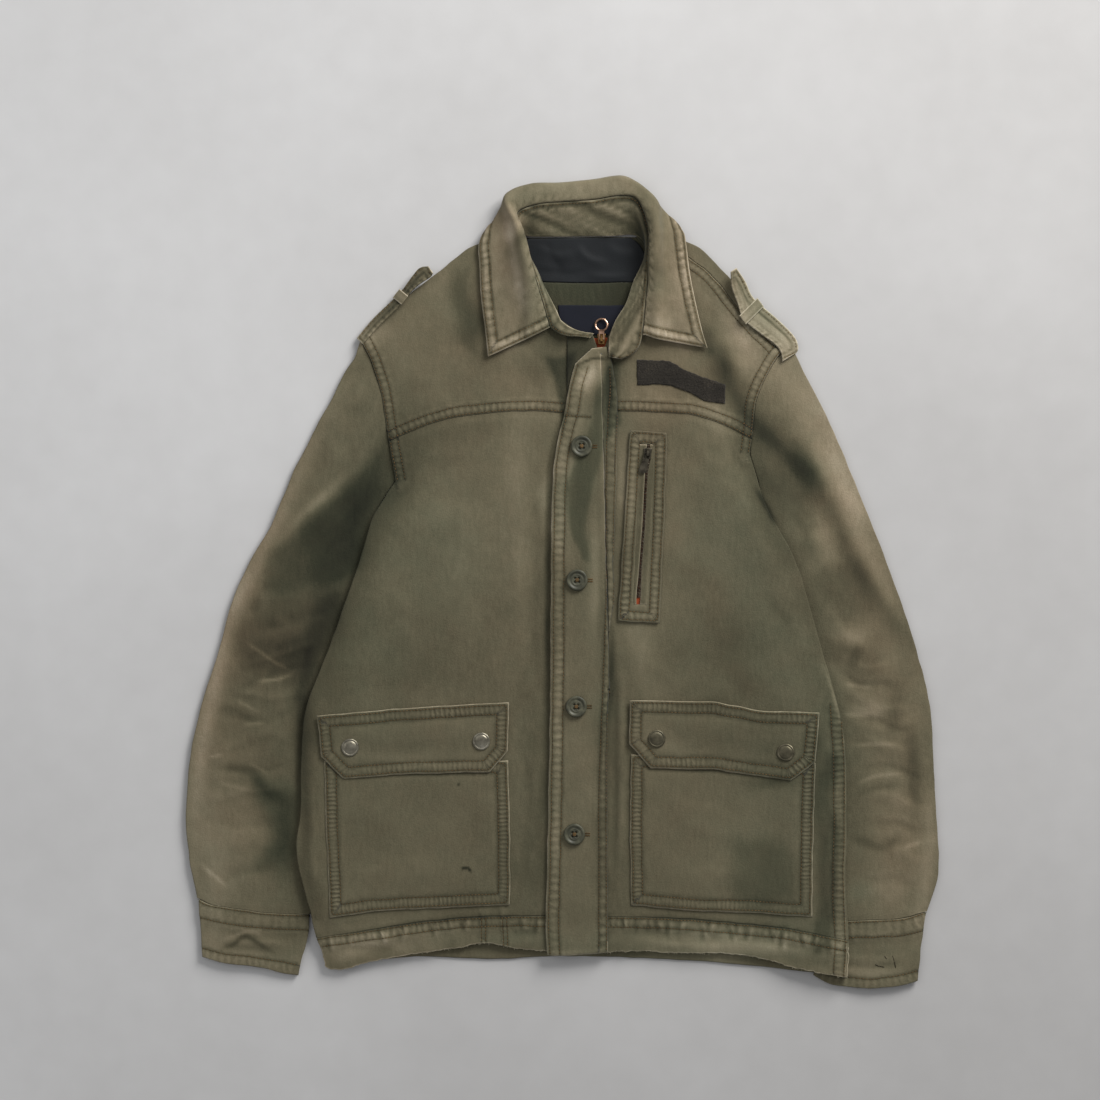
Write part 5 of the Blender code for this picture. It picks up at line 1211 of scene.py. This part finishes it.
class Strip:
    """A loft with lengths along (u) and across (v) it in mm, made into a closed shell."""

    def __init__(self, grid, step=2.2):
        self.grid = regrid(grid, step)
        along, across = np.gradient(self.grid, axis=0), np.gradient(self.grid, axis=1)
        normal = np.cross(along, across)
        normal /= np.linalg.norm(normal, axis=2)[..., None] + 1e-9
        self.normal = normal * (1 if normal[:, 1:4, 2].mean() > 0 else -1)
        self.u = self.lengths(0)
        self.v = self.lengths(1)
        self.across = self.v[:, -1:] - self.v
        self.along = self.u[-1:] - self.u
        self.ends = np.minimum(self.u, self.along)
        self.free = np.minimum(self.ends, self.across)
        self.rim = np.minimum(self.free, self.v)

    def lengths(self, axis):
        run = np.cumsum(np.linalg.norm(np.diff(self.grid, axis=axis), axis=2), axis=axis)
        return np.insert(run, 0, 0, axis=axis)

    def rows_at(self, distance):
        """Lines on the upper side that run this far inside its free edges."""
        lines = []
        for run, other, rest, flip in ((self.across, self.u, self.along, False),
                                       (self.u, self.v, self.across, True),
                                       (self.along, self.v, self.across, True)):
            grids = self.top, run, other, rest
            top, run, other, rest = [np.swapaxes(grid, 0, 1) if flip else grid for grid in grids]
            line = []
            for points, run_row, other_row, rest_row in zip(top, run, other, rest):
                order = np.argsort(run_row)
                at = np.interp(distance, run_row[order], order)
                i = int(min(at, len(points) - 2))
                if rest_row[i] >= distance - 0.2 and (flip or other_row[i] >= distance - 0.2):
                    line.append(points[i] * (1 - at + i) + points[i + 1] * (at - i))
            if len(line) > 3:
                lines.append(np.array(line))
        return lines

    def shape(self, node, wall, relief, tone=0.0, band=0.0, place=0.0, rows=(), worn=None):
        n, m = self.u.shape
        middle = self.grid + self.normal * relief[..., None]
        half = self.normal * thickness(wall, self.rim)[..., None] / 2
        self.top = middle + half
        index = np.arange(n * m).reshape(n, m)
        inner = np.zeros((n, m), bool)
        inner[1:-1, 1:-1] = True
        under = index.copy()
        under[inner] = n * m + np.arange(inner.sum())
        quads, below = [np.stack([g[:-1, :-1], g[1:, :-1], g[1:, 1:], g[:-1, 1:]], -1).reshape(-1, 4)
                        for g in (index, under)]
        below = np.roll(below[:, ::-1], 1, axis=1)
        corners = self.top[index.ravel()[quads[:, :3]] // m, index.ravel()[quads[:, :3]] % m]
        facing = np.cross(corners[:, 1] - corners[:, 0], corners[:, 2] - corners[:, 0])
        if (facing * self.normal.reshape(-1, 3)[quads[:, 0]]).sum() < 0:
            quads, below = quads[:, ::-1], below[:, ::-1]
        points = np.vstack([self.top.reshape(-1, 3), (middle - half)[inner]])
        blurred = relief.copy()
        for _ in range(6):
            for axis in (0, 1):
                blurred = (blurred + np.roll(blurred, 1, axis) + np.roll(blurred, -1, axis)) / 3
        # lighter on crests from wear, darker in hollows as painted shade
        wear_and_hollow_shade = np.clip((relief - blurred) / 0.4, -1.5, 1.5)
        for row in rows:
            wear_and_hollow_shade = wear_and_hollow_shade - 1.6 * bell(self.free - row, 1.1)
        flat = self.grid.reshape(-1, 3)
        looks = {"fade_and_shade": fade_and_shade(flat) + tone, "hue": hue(flat), "wear_and_hollow_shade": wear_and_hollow_shade,
                 "edge": self.free if worn is None else worn, "band": band, "lane": place}
        attributes = {}
        for key, value in looks.items():
            value = np.broadcast_to(np.reshape(value, (n, m)) if np.size(value) > 1 else value, (n, m))
            attributes[key] = np.concatenate([value.ravel(), value[inner]])
        size = (self.u[-1].max(), self.v[:, -1].max())
        area = min(size[0] * size[1] * 0.99, self.u[-1].mean() * self.v[:, -1].mean())
        add_cloth(node, points, np.vstack([quads, below]), "twill", attributes,
                  self.top.reshape(-1, 3), quads, size, area)


def strip_gathers(u, gap, low, high, pitch, seed):
    """Gathers across a band of a strip, from low to high mm off its edge."""
    spot = np.column_stack([u.ravel(), gap.ravel()])
    return gathers(spot, gap.ravel(), u.ravel(), low, high, pitch, 0.55, seed).reshape(u.shape)


def groove(distance, depth=0.42):
    return -depth * bell(distance, 1.5)


def make_collar():
    neck, seam, roll, edge = (dense(row, 12) for row in zip(*COLLAR_ROWS))
    onwards = (seam - neck) / np.linalg.norm(seam - neck, axis=1)[:, None]
    turn = roll + (edge - roll) * 0.3
    turn[:, 2] = roll[:, 2] + (edge[:, 2] - roll[:, 2]) * 0.75
    over = dense(np.stack([seam + 3.0 * onwards, roll, turn, edge]), 12).transpose(1, 0, 2)
    first = (seam + 0.4 * onwards)[:, None]
    fall = Strip(np.concatenate([first, over], axis=1))
    spot = fall.grid.reshape(-1, 3)
    relief = groove(fall.free - FALL_ROWS[0]) + groove(fall.free - FALL_ROWS[1], 0.5)
    relief += 0.45 * bell(fall.free - 5.5, 2.6)
    relief += 0.42 * strip_gathers(fall.u, fall.across, 2.0, 11.0, 8.8, 51)
    relief += 0.40 * strip_gathers(fall.v, fall.ends, 2.0, 11.0, 8.2, 53)
    relief += 0.40 * strip_gathers(fall.u, fall.v, 0.0, 6.0, 9.6, 55)
    relief += (0.35 * noise(spot, 17, 57) + 0.14 * noise(spot, 6, 58)).reshape(relief.shape)
    place = np.where(fall.ends < fall.across, fall.v, fall.u) / 8.2
    fall.shape("collar_fall", COLLAR_WALL, relief, tone=0.40, rows=FALL_ROWS,
               band=in_band(fall.free, *FALL_ROWS), place=place)
    body = np.stack([neck, seam], 1)
    columns = np.concatenate([dense([*STAND_TAB_RIGHT, body[0]], 6)[:-1], body,
                              dense([body[-1], *STAND_TAB_LEFT], 6)[1:]])
    share = np.linspace(0, 1, 15)[None, :, None]
    stand = Strip(columns[:, :1] * (1 - share) + columns[:, 1:] * share)
    spot = stand.grid.reshape(-1, 3)
    slant = np.column_stack([stand.u.ravel() + 0.8 * stand.v.ravel(), 0.6 * stand.v.ravel()])
    relief = groove(stand.v - 3.0) + groove(stand.across - 2.2)
    relief += 0.45 * strip_gathers(stand.u, stand.across, 1.0, 7.0, 10.5, 61)
    relief += 0.30 * strip_gathers(stand.u, stand.v, 0.0, 4.0, 7.5, 63)
    creased = 0.9 * noise(slant, 17, 65) + 0.6 * noise(slant, 10, 67) + 0.12 * noise(spot, 5, 66)
    stand.shape("collar_stand", COLLAR_WALL, relief + creased.reshape(relief.shape), tone=0.1, rows=(2.4,),
                worn=np.minimum(stand.ends, stand.v))
    return fall, stand


def make_straps():
    """Epaulettes with their keepers; each is stitched along its edges."""
    made = []
    for hand, rows in EPAULETTE.items():
        lines = dense(rows, 10)
        arch = np.linspace(-1, 1, 9)
        grid = (lines[:, None, 0] * (1 - arch[:, None]) + lines[:, None, 1] * (1 + arch[:, None])) / 2
        grid[..., 2] += 0.6 * (1 - arch ** 2)
        strap = Strip(grid, 1.8)
        relief = (groove(strap.rim - STRAP_ROWS[0]) + groove(strap.rim - STRAP_ROWS[1], 0.3)
                  + 0.3 * bell(strap.rim - 1.2, 1.2))
        relief += 0.28 * strip_gathers(strap.u, strap.v, 0.0, 5.0, 8.0, 71)
        relief += 0.28 * strip_gathers(strap.u, strap.across, 0.0, 5.0, 8.0, 73)
        strap.shape("epaulette_" + hand, STRAP_WALL, relief, rows=STRAP_ROWS,
                    tone=0.7 if hand == "left" else -0.3,
                    band=1 - ease((strap.rim - 2.6) / 2.0), place=strap.u / 6.0)
        i = 10 * KEEPER_ROW[hand]
        a, b = lines[i]
        along = (lines[i + 5, 0] - lines[i - 5, 0])
        along *= 5.5 / np.linalg.norm(along)
        out = (b - a) / np.linalg.norm(b - a) * 1.5
        cross = np.stack([a - out + (b - a + 2 * out) * t + (0, 0, 0.6 * (1 - (2 * t - 1) ** 2))
                          for t in np.linspace(0, 1, 9)])
        keeper = Strip(np.stack([cross - along, cross, cross + along]), 1.6)
        keeper.grid = keeper.grid + keeper.normal * KEEPER_LIFT
        keeper.shape("epaulette_keeper_" + hand, KEEPER_WALL, groove(keeper.ends - 2.2, 0.3), tone=0.45)
        made.append(strap)
    return made


fall, stand = make_collar()
straps = make_straps()
make_lips()

# ---- threads, buttons, snaps and zips --------------------------------------------------------
THREADS = {                                   # radius in mm, material, slot
    "stitches": (0.36, "thread", "twill_dark"),
    "button_thread": (0.34, "thread", "twill_dark"),
    "chest_zip_coil": (0.55, "dark_metal", "zip_metal"),
    # dark threads of painted shadow in the cuts
    "cuff_slits": (0.4, "cut", "twill"),
    "frayed_fibres": (0.16, "fibre", "twill"),
    "loop_pile_fibres": (0.14, "loop_tape", "loop_tape"),
}
POINT = 0.22                                  # share of a thread's length that tapers at each end
STITCH = (0.10, 0.84)                         # a stitch's start and end, as shares of the pitch
STITCH_LIFT, STITCH_DROP = 0.08, 1.5          # over the cloth; a stitch that drops more is left out


def capsules(name, threads):
    """Short pointed threads, each from its first point to its second, as one piece."""
    radius, look, slot = THREADS[name]
    starts, ends = np.array(threads, float).transpose(1, 0, 2)
    run = ends - starts
    ahead = run / np.linalg.norm(run, axis=1)[:, None]
    aside = np.cross(ahead, (0.31, 0.17, 0.94))
    aside /= np.linalg.norm(aside, axis=1)[:, None]
    over = np.cross(aside, ahead)
    ring = np.stack([aside, over, -aside, -over], 1) * radius
    points = np.concatenate([starts[:, None], (starts + POINT * run)[:, None] + ring,
                             (ends - POINT * run)[:, None] + ring, ends[:, None]], 1)
    turn = [(i, (i + 1) % 4) for i in range(4)]
    one = np.array([(0, 1 + j, 1 + i) for i, j in turn] + [(9, 5 + i, 5 + j) for i, j in turn]
                   + [t for i, j in turn for t in ((1 + i, 1 + j, 5 + j), (1 + i, 5 + j, 5 + i))])
    faces = (one[None] + 10 * np.arange(len(starts))[:, None, None]).reshape(-1, 3)
    add_piece(name, points.reshape(-1, 3), faces, look)


def on_top(node, plan, lift=0.0):
    """Points of the plan set on a piece's upper side, or None beside it."""
    made = []
    for x, y in plan:
        hit = trees[node].ray_cast(Vector((x, y, 80.0)), Vector((0, 0, -1)))[0]
        made.append(None if hit is None else (x, y, hit.z + lift))
    return made


def make_stitches():
    threads = []
    for node, row in stitched:
        row = even(row, THREAD_PITCH)
        step = np.diff(row, axis=0)
        first, last = [on_top(node, waver(row[:-1] + share * step), STITCH_LIFT) for share in STITCH]
        threads += [(a, b) for a, b in zip(first, last) if a and b and abs(a[2] - b[2]) < STITCH_DROP]
    for strip, rows in [(fall, FALL_ROWS), (stand, (2.2,))] + [(strap, STRAP_ROWS[:1]) for strap in straps]:
        for line in sum([strip.rows_at(row) for row in rows], []):
            line = even(line, THREAD_PITCH)
            step = np.diff(line, axis=0)
            threads += list(zip(*[line[:-1] + share * step for share in STITCH]))
    capsules("stitches", threads)


def disc(node, look, height, segments=56):
    """A round part that takes a CAD disc's place: height gives its top from r and the angle."""
    points = np.asarray(solid(node)[0], float)
    middle = (points.max(0) + points.min(0)) / 2
    axes = np.linalg.svd(points - middle, full_matrices=False)[2]
    up = axes[2] * np.sign(axes[2, 2])
    level = (points - middle) @ up
    low, high = level.min(), level.max()
    radius = np.linalg.norm((points - middle) - level[:, None] * up, axis=1).max()
    r = np.concatenate([np.linspace(0.04, 0.96, 26), [0.985, 1.0]])[:, None] * radius
    angle = np.linspace(0, 2 * np.pi, segments, endpoint=False)[None]
    top = height(r / radius, angle) * (high - low)
    r = np.concatenate([r, [[radius]], [[0.9 * radius]]])
    top = np.concatenate([top, np.full((1, segments), 0.3 * (high - low)), np.zeros((1, segments))])
    x_axis = np.cross((0, 1, 0), up)
    x_axis /= np.linalg.norm(x_axis)
    y_axis = np.cross(up, x_axis)
    base = middle + low * up
    place = (base + (r * np.cos(angle))[..., None] * x_axis + (r * np.sin(angle))[..., None] * y_axis
             + top[..., None] * up)
    index = np.arange(len(place) * segments).reshape(-1, segments)
    nxt = np.roll(index, -1, 1)
    faces = np.stack([index[:-1], index[1:], nxt[1:], nxt[:-1]], -1).reshape(-1, 4).tolist()
    faces += [index[0].tolist(), index[-1][::-1].tolist()]
    add_piece(node + "_turned", place.reshape(-1, 3), faces, look, node)
    return base, up, x_axis, y_axis, high - low


def button_top(r, angle):
    """Raised rim, dished middle with an inner ring, and four holes."""
    x, y = r * np.cos(angle), r * np.sin(angle)
    top = np.interp(r, (0, 0.42, 0.50, 0.57, 0.66, 0.80, 0.92, 0.985, 1.0),
                    (0.58, 0.60, 0.72, 0.60, 0.66, 0.98, 0.96, 0.72, 0.55))
    hole = np.minimum.reduce([np.hypot(x - a, y - b) for a in (-0.17, 0.17) for b in (-0.17, 0.17)])
    return top - 0.5 * (1 - ease((hole - 0.08) / 0.05))


def snap_top(r, angle):
    """Domed cap in a rolled rim, a little dented."""
    top = np.interp(r, (0, 0.3, 0.55, 0.70, 0.76, 0.84, 0.94, 1.0),
                    (1.0, 0.95, 0.82, 0.62, 0.42, 0.58, 0.52, 0.25))
    return top + 0.03 * np.sin(3 * angle + 1.0) * r + 0.02 * np.sin(9 * r * np.cos(angle))


def make_hardware():
    threads = []
    for n in range(1, 5):
        base, up, x_axis, y_axis, tall = disc("button_%d" % n, "button", button_top)
        for shift in np.arange(-2, 3) * 0.22:
            for a in (-1, 1):
                threads.append([base + (1.7 * c + shift) * x_axis + (1.7 * a * c - a * shift) * y_axis
                                + 0.72 * tall * up for c in (-1, 1)])
        # the buttonhole: a keyhole slit with close stitches on both sides
        hole = base + np.array((9.8, -0.3, 0))
        for x in hole[0] - 6 + 0.72 * np.arange(17):
            for side in (-1, 1):
                spots = on_top("placket", [(x, hole[1] + side * 0.35), (x + 0.2, hole[1] + side * 1.9)], 0.22)
                if all(spots):
                    threads.append(spots)
    capsules("button_thread", threads)
    for n in range(1, 5):
        disc("snap_%d" % n, "nickel" if n < 3 else "tarnished", snap_top)
    # coil of the chest zip
    line = even(curve(LIP_FOLD), 1.5)
    base = np.column_stack([line, np.full(len(line), COIL_LEVEL)])[:-5]
    capsules("chest_zip_coil", np.stack([base - (3.2, 0.3, 0), base + (3.2, 0.3, 0)], 1))
    for node, look in (("chest_zip_slider", "dark_metal"), ("chest_zip_pull", "dark_metal"),
                       ("main_zip_slider", "brass"), ("main_zip_ring", "copper")):
        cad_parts[node].material_slots[0].material = materials[look]


def make_slits():
    """Small cuts in the cloth of the left cuff, drawn as dark threads whose colour is painted shadow inside
    each cut.
    """
    marks = [((312, -380), (317, -382.5)), ((316.5, -382), (322, -383)), ((321.5, -371.5), (324, -375)),
             ((329.5, -371), (331.5, -377)), ((331.5, -377), (333, -384))]
    capsules("cuff_slits", [on_top("cuff_left_top", mark, 0.15) for mark in marks])


def make_frays():
    """Loose fibres along the lower edge of the hem and at worn corners."""
    rng = np.random.default_rng(5)
    threads = []
    for node in ("hem_band_left", "hem_band_right", "cuff_left_top", "cuff_right_top"):
        loop = outlines(node)[0]
        edge = loop[loop[:, 1] < lower_side(loop) + 3]
        for x, y in edge[rng.random(len(edge)) < (0.75 if "hem" in node else 0.25)]:
            spot = on_top(node, waver(np.array([(x, y + 0.9)])), -0.3)[0]
            if spot:
                turn = rng.normal(-np.pi / 2, 0.8)
                length = rng.uniform(1.2, 3.4)
                way = np.array((np.cos(turn), np.sin(turn), rng.uniform(-0.3, 0.2)))
                threads.append((spot, np.array(spot) + length * way))
    capsules("frayed_fibres", threads)


def make_nap():
    """Matted pile of the hook-and-loop tape."""
    rng = np.random.default_rng(8)
    low, high = outlines("name_tape")[0].min(0), outlines("name_tape")[0].max(0)
    starts = np.array([p for p in on_top("name_tape", rng.uniform(low, high, (1500, 2)), -0.1) if p])
    lean = rng.uniform(-1, 1, starts.shape) * (1.0, 0.9, 0.25) + (0, 0, 0.45)
    capsules("loop_pile_fibres", np.stack([starts, starts + lean], 1))


def lower_side(loop):
    """The height in the plan of an outline's lower side, under each of its points."""
    x, y = loop[np.argsort(loop[:, 0])].T
    return np.interp(loop[:, 0], x, [y[np.abs(x - a) < 4].min() for a in x])


def hard(name, stops, size, roughness, metallic, specular=0.5, dent=0.05):
    """A hard material, its tone by small blotches."""
    made = Nodes(name, roughness=roughness, metallic=metallic, specular=specular)
    blotch = made.noise(size, 4.0)
    made.colour(made.ramp(blotch, stops))
    made.bump((made.noise(size * 0.5, 3.0), dent))
    return made.material


materials.update({
    # painted shadow inside the cuff's cuts
    "cut": hard("painted_slit_shadow", [(0.3, (36, 33, 25)), (0.7, (52, 47, 36))], 10.0, 0.9, 0.0, 0.1, 0.0),
    "thread": hard("brown_thread", [(0.3, (72, 56, 34)), (0.7, (112, 88, 56))],
                   14.0, 0.85, 0.0, 0.2, 0.02),
    "fibre": hard("pale_fibre", [(0.3, (128, 120, 98)), (0.7, (170, 162, 138))],
                  9.0, 0.9, 0.0, 0.2, 0.01),
    "button": hard("worn_button", [(0.3, (50, 50, 38)), (0.55, (68, 67, 52)), (0.75, (90, 88, 70))],
                   6.0, 0.48, 0.0, 0.35),
    "nickel": hard("antique_nickel", [(0.3, (100, 95, 82)), (0.6, (140, 134, 118)),
                                      (0.8, (168, 162, 146))], 7.0, 0.36, 0.85),
    "tarnished": hard("tarnished_nickel", [(0.3, (66, 62, 49)), (0.6, (96, 90, 72)),
                                           (0.8, (130, 122, 102))], 7.0, 0.42, 0.8),
    "dark_metal": hard("dark_nickel", [(0.3, (48, 44, 36)), (0.7, (104, 97, 82))], 5.0, 0.40, 0.85),
    "brass": hard("worn_brass", [(0.3, (84, 62, 34)), (0.7, (164, 126, 76))], 5.0, 0.36, 0.9),
    "copper": hard("worn_copper", [(0.3, (112, 84, 66)), (0.7, (186, 150, 126))], 5.0, 0.30, 0.9),
})
make_stitches()
make_hardware()
make_slits()
make_frays()
make_nap()

# ---- floor, light and camera -----------------------------------------------------------------
VIEW_DISTANCE, VIEW_WIDTH = 3.0, 1.1          # metres; the photo's frame is this wide on the floor
SENSOR = 36
FLOOR_SIZE, FLOOR_LEVEL = 9.0, -0.0004
LIGHTS = (                                    # name, place, size, power
    ("key", (1.4, 1.9, 1.35), 1.3, 92.0),
    ("fill", (-1.6, 0.8, 2.4), 2.4, 12.0),
)


def add_stage():
    bpy.ops.mesh.primitive_plane_add(size=FLOOR_SIZE, location=(0, 0, FLOOR_LEVEL))
    floor = bpy.context.object
    floor.name = "floor"
    made = Nodes("pale_floor", roughness=0.9, specular=0.2)
    across = made.add("ShaderNodeSeparateXYZ")
    made.link(made.place, across.inputs[0])
    # painted light falloff: the floor is darker towards +x and lighter towards +y, over soft mottling
    shade = made.sum(0.5, (made.noise(420.0, 4.0), 0.35, 0.5), (made.noise(30.0, 3.0), 0.10, 0.5),
                     (across.outputs[0], -0.30, -0.1), (across.outputs[1], 0.10, 0.0))
    made.colour(made.ramp(shade, [(0.0, (150, 147, 144)), (0.5, (190, 188, 186)),
                                  (1.0, (226, 225, 224))]))
    floor.data.materials.append(made.material)
    world = bpy.data.worlds.new("studio")
    world.use_nodes = True
    sky = world.node_tree.nodes["Background"].inputs
    sky["Color"].default_value, sky["Strength"].default_value = (0.93, 0.96, 1.0, 1), 0.38
    scene = bpy.context.scene
    scene.world = world
    for name, place, size, power in LIGHTS:
        light = bpy.data.lights.new(name, 'AREA')
        light.size, light.energy = size, power
        lamp = bpy.data.objects.new(name, light)
        lamp.location = place
        lamp.rotation_euler = (-Vector(place)).to_track_quat('-Z', 'Y').to_euler()
        scene.collection.objects.link(lamp)
    camera = bpy.data.objects.new("camera", bpy.data.cameras.new("camera"))
    camera.location = (-0.0125, 0.0325, VIEW_DISTANCE + 0.008)
    camera.data.lens, camera.data.sensor_width = SENSOR * VIEW_DISTANCE / VIEW_WIDTH, SENSOR
    scene.collection.objects.link(camera)
    scene.camera = camera
    scene.view_settings.view_transform = 'Standard'


add_stage()
for node, cut in cloth.items():
    lay(*cut, ["back_panel"] if node != "back_panel" else [])
